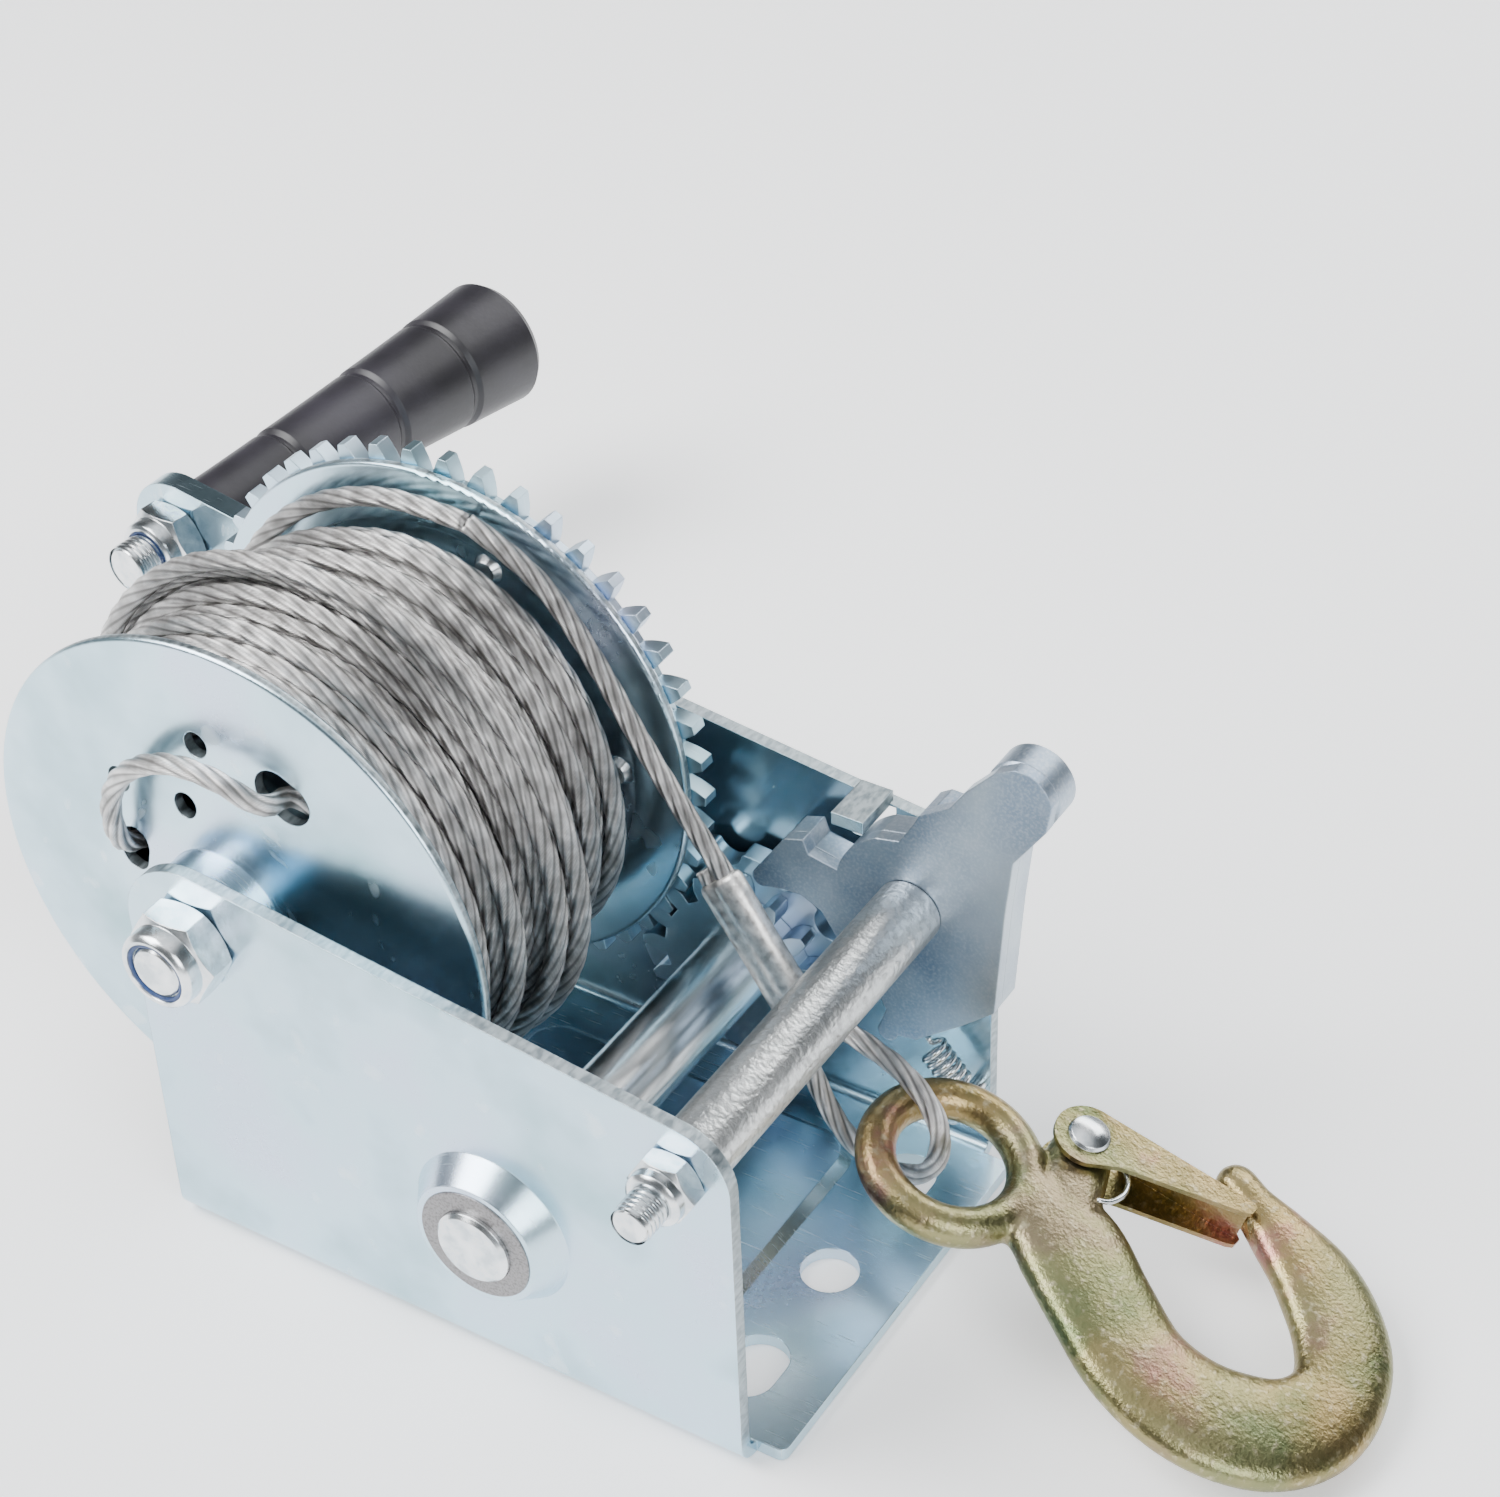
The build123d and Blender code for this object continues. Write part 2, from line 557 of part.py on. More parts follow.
def pawl_face():
    """Pawl outline about the tie bolt: two claws, an arch, a lever arm and a notch for the tab."""
    left = Vector(*polar(claw_reach, left_claw))
    right = Vector(*polar(claw_reach, right_claw))
    notch_left = polar(notch_radius, 168.3)
    notch_mid = polar(notch_radius, 142.0)
    notch_right = polar(notch_radius, 117.0)
    with BuildSketch(Plane.XY) as face:
        with BuildLine():
            Polyline(notch_left, (-24.0, 4.9), (-25.2, 8.3), (-29.6, 6.8), (-34.7, -0.5),
                     (left.X - claw_radius, left.Y), (left.X, left.Y - claw_radius),
                     (-31.0, -7.0), (-26.0, -6.7), (-20.9, -9.2), (-16.6, -16.0),
                     (-8.5, -24.0), (-5.6, -29.5), (right.X - claw_radius, right.Y),
                     (right.X, right.Y - claw_radius), (right.X + claw_radius, right.Y),
                     (1.5, -35.0), (11.8, -26.7), (19.9, -19.4), (21.9, 7.1), (23.5, 21.6),
                     (30.5, 32.0), (31.6, 38.6))
            ThreePointArc((31.6, 38.6), (28.5, 43.3), (23.0, 44.5))
            Polyline((23.0, 44.5), (18.7, 42.0), (12.8, 35.5), (9.0, 29.8), (2.2, 25.3),
                     (1.1, 22.9), (-2.4, 16.9), notch_right)
            ThreePointArc(notch_right, notch_mid, notch_left)
        make_face()
        with Locations((left.X, left.Y), (right.X, right.Y)):
            Circle(claw_radius)
        Circle(tie_bolt_radius + run_gap, mode=Mode.SUBTRACT)
    return face.sketch


pawl_sketch = pawl_face()
with BuildPart() as pawl_plate:
    with BuildSketch(upright(pawl_front_y, tie_x, tie_z)):
        add(pawl_sketch)
    extrude(amount=-pawl_plate_t)
save(pawl_plate, "pawl_plate")

core_y = pawl_front_y + pawl_plate_t
with BuildPart() as pawl_core:
    with BuildSketch(upright(core_y, tie_x, tie_z)):
        add(pawl_sketch)
        with Locations((10, 42)):
            Rectangle(60, 30, mode=Mode.SUBTRACT)
    extrude(amount=-pawl_core_t)
save(pawl_core, "pawl_core")

knob_x, knob_z = tie_x + 23.5, tie_z + 36.0
ring("pawl_knob", knob_x, knob_z, core_y, inner_y - 1.8, 8.0, soft=0.8)

spring_top = Vector(tie_x + 1.5, 42.5, tie_z - 41.0)
spring_foot = Vector(tie_x + 10.0, 42.5, tie_z - 50.5)
with BuildPart() as pawl_spring:
    with BuildSketch(Plane(origin=spring_top, z_dir=spring_foot - spring_top)):
        Circle(3.4)
        Circle(2.2, mode=Mode.SUBTRACT)
    extrude(amount=(spring_foot - spring_top).length)
save(pawl_spring, "pawl_spring")
ring("spring_pin", spring_foot.X, spring_foot.Z - 3.0, 36.5, inner_y, 1.8)

# ---- rope -----------------------------------------------------------------------------------
pack_near, pack_far = near_flange_y + flange_sheet, far_flange_y - 0.6
with BuildPart() as rope_wound:
    with BuildSketch(Plane(origin=(drum_x, 0, drum_z), x_dir=(0, 1, 0), z_dir=(1, 0, 0))):
        with BuildLine():
            Polyline((pack_near, hub_radius), (pack_near, pack_radius - 2.5),
                     (pack_near + 5, pack_radius), (12, pack_radius), (pack_far, pack_radius_far),
                     (pack_far, hub_radius), close=True)
        make_face()
    revolve(axis=Axis((drum_x, 0, drum_z), (0, 1, 0)))
save(rope_wound, "rope_wound")


def rope_tube(name, points):
    """Round rope along straight runs joined by the largest arcs that the runs leave room for."""
    spots = [Vector(*p) for p in points]
    runs = [b - a for a, b in zip(spots, spots[1:])]
    radii = []
    for before, after in zip(runs, runs[1:]):
        turn = radians(before.get_angle(after))
        radii.append(0.45 * min(before.length, after.length) / tan(turn / 2))
    print(name, "arc radii", [round(r, 1) for r in radii])
    with BuildPart() as piece:
        with BuildLine() as path:
            FilletPolyline(*points, radius=radii)
        start = Plane(origin=path.line @ 0, z_dir=path.line % 0)
        with BuildSketch(start):
            Circle(rope_d / 2)
        sweep()
    area = pi * rope_d ** 2 / 4
    length = path.wires()[0].length
    print(name, "volume over section times length",
          round(piece.part.volume / (area * length), 4), "length", round(length, 1))
    save(piece, name)


def swing_y(x):
    """The free end of the rope hangs in one upright plane that runs slightly towards -Y."""
    return 10.5 + 0.2 * (80.5 - x)


ferrule_top = Vector(20.5, swing_y(20.5), 77.5)
ferrule_foot = Vector(41.0, swing_y(41.0), 54.6)
ferrule_dir = (ferrule_foot - ferrule_top).normalized()
strand_shift = Vector(22.9, 0, 20.5).normalized() * 2.3
tail_end = ferrule_top + strand_shift
loop_start = ferrule_foot + strand_shift
loop_end = ferrule_foot - strand_shift
rope_tube("rope_tail", [(-43.0, 31.2, 139.2), (-28.5, 31.0, 134.2), (-14.5, 29.4, 121.2),
                        (3.6, 25.4, 98.9), tuple(tail_end)])
rope_tube("rope_loop", [tuple(loop_start), (56.5, 15.4, 56.0), (70.5, 12.6, 54.4),
                        (79.0, 10.8, 47.0), (79.6, 10.4, 36.8), (74.0, 11.4, 27.6),
                        (63.8, 13.6, 23.6), (53.6, 15.8, 26.4), (46.4, 17.0, 36.0),
                        tuple(loop_end)])
stub_dir = ferrule_dir * -1
with BuildPart() as rope_stub:
    with BuildSketch(Plane(origin=ferrule_top - strand_shift, z_dir=stub_dir)):
        Circle(rope_d / 2)
    extrude(amount=3.0)
save(rope_stub, "rope_stub")

# the inner end of the rope: out through the oval hole, over the flange and into the hub
anchor_stations = [(*rope_hole, pack_near), (*rope_hole, -44.6), (39.5, 80.0, -45.8),
                   (39.0, 100.0, -46.0), (36.0, 122.0, -45.8), (31.0, 143.0, -45.2),
                   (*end_hole, -43.6), (*end_hole, -29.5)]
anchor = [(drum_x + polar(radius, angle)[0], y, drum_z + polar(radius, angle)[1])
          for radius, angle, y in anchor_stations]
rope_tube("rope_anchor_loop", anchor)

with BuildPart() as ferrule:
    with BuildSketch(Plane(origin=ferrule_top, x_dir=strand_shift, z_dir=ferrule_dir)):
        SlotOverall(11.8, 7.0)
    extrude(amount=(ferrule_foot - ferrule_top).length)
save(ferrule, "rope_ferrule")

# ---- hook -----------------------------------------------------------------------------------
tilt = radians(hook_tilt)
hook_plane = Plane(origin=eye_centre, x_dir=(cos(tilt), 0, -sin(tilt)),
                   z_dir=(sin(tilt), 0, cos(tilt)))
with BuildPart() as hook:
    with BuildSketch(hook_plane):
        with BuildLine():
            FilletPolyline((13.0, -9.0), (23.5, -9.0), (43.0, -29.5), (80.0, -34.5),
                           (103.0, -6.0), (92.5, 32.5), (54.0, 47.5), (47.5, 38.0),
                           (79.5, 14.0), (77.5, -5.5), (54.0, -7.5), (31.5, 15.5),
                           (25.5, 25.5), (14.0, 25.5), (12.5, 12.0),
                           radius=(0.5, 8.0, 14.0, 26.0, 26.0, 18.0, 5.5, 4.5, 8.0, 10.0, 14.0,
                                   12.0, 2.0, 2.0, 6.0), close=True)
        make_face()
    extrude(amount=hook_thick / 2, both=True)
    bowl_edges = hook.edges().filter_by(
        lambda e: abs(abs(hook_plane.to_local_coords(e.center()).Z) - hook_thick / 2) < 0.05
        and hook_plane.to_local_coords(e.center()).X > 30)
    fillet(bowl_edges, 2.6)
    with BuildSketch(hook_plane):
        Circle(eye_ring)
    extrude(amount=hook_thick, both=True, mode=Mode.SUBTRACT)
    with BuildSketch(Plane(origin=eye_centre, x_dir=hook_plane.x_dir,
                           z_dir=hook_plane.y_dir)):
        with Locations((eye_ring, 0)):
            Circle(eye_bar)
    revolve(axis=Axis(eye_centre, hook_plane.z_dir))
    with BuildSketch(hook_plane):
        with Locations(latch_pivot):
            Circle(2.5)
    extrude(amount=hook_thick, both=True, mode=Mode.SUBTRACT)
save(hook, "hook")

cheek_z = hook_thick / 2 + latch_gap
web_start, web_end = 42.0, 57.0
with BuildPart() as latch:
    with BuildSketch(hook_plane.offset(-cheek_z - latch_sheet)):
        with Locations(latch_pivot):
            Circle(6.5)
        with Locations(latch_end):
            Rectangle(4.0, 11.0, rotation=8)
        make_hull()
    extrude(amount=2 * (cheek_z + latch_sheet))
    with BuildSketch(hook_plane.offset(-cheek_z)):
        with Locations((35.0, 30.5)):
            Rectangle(70, 22.0, rotation=8)
        with Locations((22.0, 14.0)):
            Rectangle(2 * (web_start - 22.0), 30)
    extrude(amount=2 * cheek_z, mode=Mode.SUBTRACT)
    with BuildSketch(hook_plane.offset(-cheek_z - latch_sheet)):
        with Locations(latch_pivot):
            Circle(2.5)
    extrude(amount=2 * (cheek_z + latch_sheet), mode=Mode.SUBTRACT)
save(latch, "latch")

with BuildPart() as latch_rivet:
    reach = cheek_z + latch_sheet
    with BuildSketch(hook_plane.offset(-reach)):
        with Locations(latch_pivot):
            Circle(2.5 - run_gap)
    extrude(amount=2 * reach)
    for side in (-1, 1):
        face = Plane(origin=hook_plane.from_local_coords((*latch_pivot, side * reach)),
                     x_dir=hook_plane.x_dir, z_dir=hook_plane.z_dir * side)
        with BuildSketch(face):
            Circle(4.4)
        extrude(amount=1.6, taper=30)
save(latch_rivet, "latch_rivet")

with BuildPart() as latch_spring:
    with BuildLine(hook_plane):
        wire = Line((33.8, 15.6), (38.2, 13.4))
    with BuildSketch(Plane(origin=wire @ 0, z_dir=wire % 0)):
        Circle(0.6)
    sweep()
save(latch_spring, "latch_spring")
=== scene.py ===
"""Boat trailer winch: finishes of the plated steel, laid wire rope, lock nuts, threads and springs.

Lengths are in metres. The drum, the pinion shaft and the tie bolt run along Y, and the rope
leaves towards +X.
"""
import json
import math

import bpy
import numpy as np
from mathutils import Matrix, Vector


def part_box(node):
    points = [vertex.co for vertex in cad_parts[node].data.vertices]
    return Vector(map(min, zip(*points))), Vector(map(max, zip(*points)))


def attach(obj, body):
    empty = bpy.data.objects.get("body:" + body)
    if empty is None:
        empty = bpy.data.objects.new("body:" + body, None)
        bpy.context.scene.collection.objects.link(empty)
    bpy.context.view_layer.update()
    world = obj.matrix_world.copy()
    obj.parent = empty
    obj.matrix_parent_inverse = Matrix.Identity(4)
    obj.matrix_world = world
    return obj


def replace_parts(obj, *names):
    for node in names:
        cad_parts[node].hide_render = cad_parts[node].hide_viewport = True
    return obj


MM = 0.001
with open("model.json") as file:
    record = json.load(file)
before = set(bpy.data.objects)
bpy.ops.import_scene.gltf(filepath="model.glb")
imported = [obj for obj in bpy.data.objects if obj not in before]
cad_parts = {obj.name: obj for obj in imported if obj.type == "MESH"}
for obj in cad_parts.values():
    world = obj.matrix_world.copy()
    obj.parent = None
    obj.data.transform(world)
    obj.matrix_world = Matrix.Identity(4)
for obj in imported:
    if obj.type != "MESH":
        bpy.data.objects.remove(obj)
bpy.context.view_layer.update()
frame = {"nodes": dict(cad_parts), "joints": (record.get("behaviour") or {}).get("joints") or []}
joints = {joint["name"]: joint for joint in frame["joints"]}


def joint_place(name):
    """A joint's point on its axis, and the axis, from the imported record."""
    joint = joints[name]
    return Vector(joint["pos_m"]), Vector(joint["axis"]).normalized()


DRUM, _ = joint_place("drum_spin")
SHAFT, _ = joint_place("shaft_spin")
TIE, _ = joint_place("pawl_tilt")
GRIP, GRIP_AXIS = joint_place("grip_spin")

# ---- camera ---------------------------------------------------------------------------------
CAMERA_PLACE = Vector((0.3138, -0.4142, 0.5096))
CAMERA_AZIMUTH, CAMERA_ELEVATION, CAMERA_ROLL = 33.08, 37.18, -2.17
LENS = 79.48


def place_camera():
    """The camera stands in front, to the right and above, with a slight roll."""
    azimuth, elevation = math.radians(CAMERA_AZIMUTH), math.radians(CAMERA_ELEVATION)
    look = Vector((-math.sin(azimuth) * math.cos(elevation),
                   math.cos(azimuth) * math.cos(elevation), -math.sin(elevation)))
    turn = look.to_track_quat("-Z", "Y").to_matrix() @ Matrix.Rotation(
        math.radians(CAMERA_ROLL), 3, "Z")
    data = bpy.data.cameras.new("camera")
    data.lens = LENS
    data.sensor_width = 36.0
    camera = bpy.data.objects.new("camera", data)
    camera.matrix_world = Matrix.Translation(CAMERA_PLACE) @ turn.to_4x4()
    bpy.context.scene.collection.objects.link(camera)
    bpy.context.scene.camera = camera


place_camera()


# ---- finishes -------------------------------------------------------------------------------
class Value:
    """A socket of a material's nodes that takes part in Python arithmetic."""

    def __init__(self, finish, socket):
        self.finish = finish
        self.socket = socket

    def math(self, operation, *others):
        return self.finish.node("Math", {"operation": operation}, [self, *others])

    def __add__(self, other):
        return self.math("ADD", other)

    def __sub__(self, other):
        return self.math("SUBTRACT", other)

    def __rsub__(self, other):
        return self.finish.node("Math", {"operation": "SUBTRACT"}, [other, self])

    def __mul__(self, other):
        return self.math("MULTIPLY", other)

    __radd__ = __add__
    __rmul__ = __mul__

    def above(self, low, high):
        """0 under low, 1 over high, straight between."""
        return self.finish.node("MapRange", {"clamp": True},
                                {"Value": self, "From Min": low, "From Max": high})


class Finish:
    """A material, and the one way to add a node to it."""

    def __init__(self, name, metallic=1.0, **shader_values):
        self.material = bpy.data.materials.new(name)
        self.material.use_nodes = True
        self.tree = self.material.node_tree
        self.shader = self.tree.nodes["Principled BSDF"]
        self.shader.inputs["Metallic"].default_value = metallic
        for socket, value in shader_values.items():
            self.shader.inputs[socket.replace("_", " ")].default_value = value

    def put(self, socket, value):
        if isinstance(value, Value):
            self.tree.links.new(value.socket, socket)
        else:
            socket.default_value = value

    def node(self, kind, settings=None, inputs=None, output=0):
        node = self.tree.nodes.new("ShaderNode" + kind)
        for name, value in (settings or {}).items():
            if name == "stops":
                ramp = node.color_ramp.elements
                while len(ramp) < len(value):
                    ramp.new(0.5)
                for stop, (position, colour) in zip(ramp, value):
                    stop.position = position
                    stop.color = (*colour, 1.0)
            else:
                setattr(node, name, value)
        pairs = inputs.items() if isinstance(inputs, dict) else enumerate(inputs or [])
        for name, value in pairs:
            self.put(node.inputs[name], value)
        return Value(self, node.outputs[output])

    def place(self, stretch=(1, 1, 1), turn=(0, 0, 0)):
        """Object coordinates in metres, stretched for grain and scratches."""
        at = self.node("TexCoord", output="Object")
        return self.node("Mapping", None, {"Vector": at, "Scale": stretch, "Rotation": turn})

    def noise(self, scale, detail=3.0, stretch=(1, 1, 1), turn=(0, 0, 0), rough=0.5):
        return self.node("TexNoise", None, {"Vector": self.place(stretch, turn),
                                            "Scale": scale, "Detail": detail,
                                            "Roughness": rough})

    def ramp(self, value, *stops):
        return self.node("ValToRGB", {"stops": stops}, [value])

    def mix(self, factor, first, second):
        """A colour between two colours."""
        node = self.tree.nodes.new("ShaderNodeMix")
        node.data_type = "RGBA"
        for index, value in ((0, factor), (6, first), (7, second)):
            if isinstance(value, tuple):
                value = (*value, 1.0)
            self.put(node.inputs[index], value)
        return Value(self, node.outputs[2])

    def normal_axis(self, axis):
        """Size of the surface normal along one of the object's axes."""
        normal = self.node("TexCoord", output="Normal")
        return self.node("SeparateXYZ", None, [normal], axis).math("ABSOLUTE")

    def height(self):
        """Height over the base, in metres."""
        return self.node("SeparateXYZ", None, [self.place()], "Z")

    def bump(self, height, distance, strength=1.0, edge=0.0):
        """Small relief, over edges softened by the given radius."""
        inputs = {"Height": height, "Distance": distance, "Strength": strength}
        if edge:
            inputs["Normal"] = self.node("Bevel", {"samples": 6}, {"Radius": edge})
        return self.node("Bump", None, inputs)

    def show(self, colour, roughness, normal=None):
        self.put(self.shader.inputs["Base Color"], colour)
        self.put(self.shader.inputs["Roughness"], roughness)
        if normal:
            self.put(self.shader.inputs["Normal"], normal)
        return self.material


def scratches(finish):
    """Fine straight scratches in three directions, as a mask."""
    lines = 0.0
    for turn in ((0.2, 0.9, 0.3), (1.3, 0.1, 0.8), (0.5, 0.4, 1.9)):
        grain = finish.noise(90.0, 2.0, (1.0, 22.0, 1.0), turn, 0.4)
        lines = lines + grain.above(0.70, 0.76)
    return lines


def zinc_plate(name, edge=0.4 * MM, deep=(0.32, 0.49, 0.55), pale=(0.52, 0.69, 0.79), rough=0.17,
               cut_edges=False):
    """Bright blue-clear zinc plate over rolled sheet, with cloudy passivate and fine scratches."""
    finish = Finish(name)
    clouds = finish.noise(28.0, 4.0)
    tint = finish.ramp(clouds, (0.30, deep), (0.52, pale), (0.74, (0.57, 0.64, 0.79)))
    lines = scratches(finish)
    grain = finish.noise(900.0, 2.0)
    colour = finish.mix(lines * 0.30, tint, (0.86, 0.91, 0.94))
    roughness = rough + clouds * 0.10 + grain * 0.06 + lines * 0.12
    if cut_edges:
        cut = finish.normal_axis("Y").above(0.45, 0.20) * finish.height().above(5.0 * MM, 8.0 * MM)
        chips = finish.noise(900.0, 3.0, (1.0, 0.4, 1.0))
        colour = finish.mix(cut * 0.75, colour, finish.ramp(
            chips, (0.36, (0.22, 0.24, 0.25)), (0.62, (0.50, 0.54, 0.55))))
        roughness = roughness + cut * chips * 0.35
        relief = grain * 0.25 + cut * chips * 1.5 + clouds * 2.0
    else:
        relief = grain * 0.25 + clouds * 2.0
    return finish.show(colour, roughness, finish.bump(relief, 0.06 * MM, 0.5, edge))


def satin_steel(name):
    """Barrel-plated stamped steel: blue-grey, satin, with a mottled skin."""
    finish = Finish(name)
    clouds = finish.noise(45.0, 5.0)
    mottle = finish.noise(1400.0, 3.0)
    tint = finish.ramp(clouds, (0.34, (0.27, 0.35, 0.46)), (0.55, (0.42, 0.50, 0.58)),
                       (0.72, (0.52, 0.60, 0.66)))
    colour = finish.mix(mottle.above(0.45, 0.70) * 0.5, tint, (0.60, 0.66, 0.71))
    relief = mottle + clouds * 2.0
    return finish.show(colour, 0.34 + mottle * 0.18, finish.bump(relief, 0.06 * MM, 0.6, 0.5 * MM))


def galvanised_tube(name):
    """Drawn tube with a dull galvanised skin, streaked along its length."""
    finish = Finish(name)
    streaks = finish.noise(120.0, 4.0, (1.0, 0.12, 1.0))
    spots = finish.noise(700.0, 3.0)
    tint = finish.ramp(streaks, (0.30, (0.40, 0.42, 0.43)), (0.52, (0.66, 0.68, 0.68)),
                       (0.72, (0.88, 0.89, 0.88)))
    colour = finish.mix(spots.above(0.48, 0.62) * 0.55, tint, (0.36, 0.37, 0.37))
    relief = spots * 2.2 + streaks * 2.4
    return finish.show(colour, 0.24 + spots * 0.25, finish.bump(relief, 0.14 * MM, 0.9, 0.4 * MM))


def bright_zinc(name, edge=0.3 * MM, grain=(1, 1, 1)):
    """Bright plated nuts and bolts."""
    finish = Finish(name)
    clouds = finish.noise(260.0, 3.0, grain)
    tint = finish.ramp(clouds, (0.35, (0.56, 0.61, 0.64)), (0.65, (0.88, 0.90, 0.91)))
    return finish.show(tint, 0.16 + clouds * 0.16, finish.bump(clouds, 0.08 * MM, 0.5, edge))


def sintered_iron(name):
    """Grey bush with fine pores."""
    finish = Finish(name)
    pores = finish.noise(1800.0, 3.0)
    turned = finish.noise(60.0, 2.0)
    tint = finish.ramp(pores, (0.30, (0.15, 0.14, 0.14)), (0.55, (0.27, 0.26, 0.26)))
    return finish.show(tint, 0.36 + turned * 0.16, finish.bump(pores, 0.03 * MM, 0.5, 0.3 * MM))


STRANDS, WIRES = 6, 48    # round the rope: laid strands, and wires that show between them


def wire_rope(name, lay):
    """Steel wires: fine lines along the rope over six laid strands, with painted shade darkening
    the gaps between the wires and the valleys between the strands.
    """
    finish = Finish(name)
    at = finish.node("UVMap")
    around = finish.node("SeparateXYZ", None, [at], "X")
    along = finish.node("SeparateXYZ", None, [at], "Y")
    # painted shade: a mask that darkens the colour towards the valleys between the strands
    strand_valley_shade = (around * (math.tau * STRANDS)).math("COSINE").above(0.2, 1.0)
    wires = ((around + along * (1.0 / lay)) * (math.tau * WIRES)).math("SINE").above(-1.0, 1.0)
    wear = finish.noise(260.0, 4.0)
    shine = finish.noise(60.0, 3.0)
    tint = finish.ramp(wear, (0.30, (0.44, 0.43, 0.42)), (0.50, (0.64, 0.63, 0.62)),
                       (0.68, (0.95, 0.94, 0.93)))
    # painted shade: the gaps between the wires are darkened in the colour
    wire_gap_shaded = finish.mix((1.0 - wires) * 0.52, tint, (0.20, 0.19, 0.19))
    # painted shade: the strand valleys are mixed towards near-black
    colour = finish.mix(strand_valley_shade * 0.66, wire_gap_shaded, (0.10, 0.095, 0.09))
    relief = wires + wear * 0.2
    return finish.show(colour, 0.25 + shine * 0.12 + wear * 0.08,
                       finish.bump(relief, 0.1 * MM, 0.8))


def pressed_aluminium(name):
    """Soft pressed sleeve, matt with small dents and press marks."""
    finish = Finish(name)
    dents = finish.noise(500.0, 4.0)
    marks = finish.noise(160.0, 3.0, (1.0, 4.0, 1.0))
    tint = finish.ramp(dents, (0.30, (0.52, 0.50, 0.48)), (0.60, (0.86, 0.85, 0.83)))
    relief = dents * 1.4 + marks * 1.6
    return finish.show(tint, 0.30 + dents * 0.25, finish.bump(relief, 0.12 * MM, 0.8, 0.4 * MM))


def yellow_zinc(name, edge=0.6 * MM):
    """Yellow zinc passivate on a drop forging: olive gold with pink and green bloom."""
    finish = Finish(name)
    bloom = finish.noise(46.0, 5.0, rough=0.6)
    patches = finish.noise(19.0, 3.0)
    forging = finish.noise(620.0, 4.0)
    skin = finish.noise(1500.0, 3.0)
    gold = finish.ramp(bloom, (0.30, (0.11, 0.12, 0.05)), (0.43, (0.25, 0.19, 0.08)),
                       (0.54, (0.36, 0.26, 0.12)), (0.64, (0.36, 0.17, 0.14)))
    colour = finish.mix(patches.above(0.44, 0.62) * 0.6, gold, (0.17, 0.22, 0.11))
    colour = finish.mix(forging.above(0.56, 0.72) * 0.4, colour, (0.70, 0.62, 0.42))
    relief = forging + skin * 0.8 + bloom * 2.5
    return finish.show(colour, 0.22 + forging * 0.22, finish.bump(relief, 0.16 * MM, 0.9, edge))


def black_grip(name):
    """Moulded near-black plastic with a faint violet cast and a slight orange-peel skin."""
    finish = Finish(name, metallic=0.0, Coat_Weight=0.15, Coat_Roughness=0.35)
    peel = finish.noise(900.0, 2.0)
    rubs = finish.noise(36.0, 4.0)
    tint = finish.ramp(rubs, (0.35, (0.010, 0.009, 0.012)), (0.70, (0.028, 0.025, 0.034)))
    return finish.show(tint, 0.36 + rubs * 0.14, finish.bump(peel, 0.06 * MM, 0.5, 0.5 * MM))


def blue_nylon(name):
    """The blue insert of a lock nut."""
    finish = Finish(name, metallic=0.0)
    skin = finish.noise(1200.0, 2.0)
    tint = finish.ramp(skin, (0.35, (0.008, 0.03, 0.11)), (0.70, (0.015, 0.05, 0.17)))
    return finish.show(tint, 0.42 + skin * 0.1, finish.bump(skin, 0.05 * MM, 0.4))


ROPE_D = 4.5 * MM
ROPE_LAY = 42.0 * MM    # one turn of a strand
PLATE = zinc_plate("zinc plate")
FRAME_PLATE = zinc_plate("zinc plate frame", cut_edges=True)
FLANGE_PLATE = zinc_plate("zinc plate flange", cut_edges=True)
GEAR_PLATE = zinc_plate("zinc plate gear", edge=0.3 * MM, rough=0.26)
SATIN = satin_steel("satin steel")
TUBE = galvanised_tube("galvanised tube")
BRIGHT = bright_zinc("bright zinc")
SPRING = bright_zinc("spring steel", edge=0.0)
SHAFT_ZINC = bright_zinc("plated shaft", grain=(1.0, 0.05, 1.0))
BUSH = sintered_iron("sintered iron")
ROPE = wire_rope("wire rope", ROPE_LAY)
SLEEVE = pressed_aluminium("pressed aluminium")
GOLD = yellow_zinc("yellow zinc")
LATCH_GOLD = yellow_zinc("yellow zinc sheet", edge=0.2 * MM)
BLACK = black_grip("black plastic")
NYLON = blue_nylon("blue nylon")

NODE_FINISH = {
    "frame": FRAME_PLATE, "near_flange": FLANGE_PLATE, "far_flange": FLANGE_PLATE,
    "drum_gear": GEAR_PLATE, "pinion": GEAR_PLATE, "ratchet_wheel": GEAR_PLATE,
    "drum_hub": PLATE, "drum_sleeve": PLATE, "gear_rivets": BRIGHT, "crank_arm": PLATE,
    "pinion_shaft": SHAFT_ZINC, "shaft_collar": BRIGHT, "shaft_bush_near": BUSH,
    "shaft_bush_far": BUSH, "drum_axle_bolt": BRIGHT, "drum_axle_tube": TUBE,
    "tie_bolt": BRIGHT, "tie_tube": TUBE, "pawl_spacer": TUBE, "spring_pin": BRIGHT,
    "grip_bolt": BRIGHT, "grip_washer": BRIGHT, "grip": BLACK, "pawl_plate": SATIN,
    "pawl_core": SATIN, "pawl_knob": SATIN, "hook": GOLD, "latch": LATCH_GOLD,
    "latch_rivet": BRIGHT, "rope_ferrule": SLEEVE, "drum_axle_nut": BRIGHT, "tie_nut": BRIGHT,
    "crank_nut": BRIGHT, "grip_nut": BRIGHT, "pawl_spring": SPRING, "latch_spring": SPRING,
    "rope_tail": ROPE, "rope_loop": ROPE, "rope_stub": ROPE, "rope_wound": ROPE,
    "rope_anchor_loop": ROPE,
}
for node_name, node_object in frame["nodes"].items():
    node_object.data.materials.clear()
    node_object.data.materials.append(NODE_FINISH[node_name])


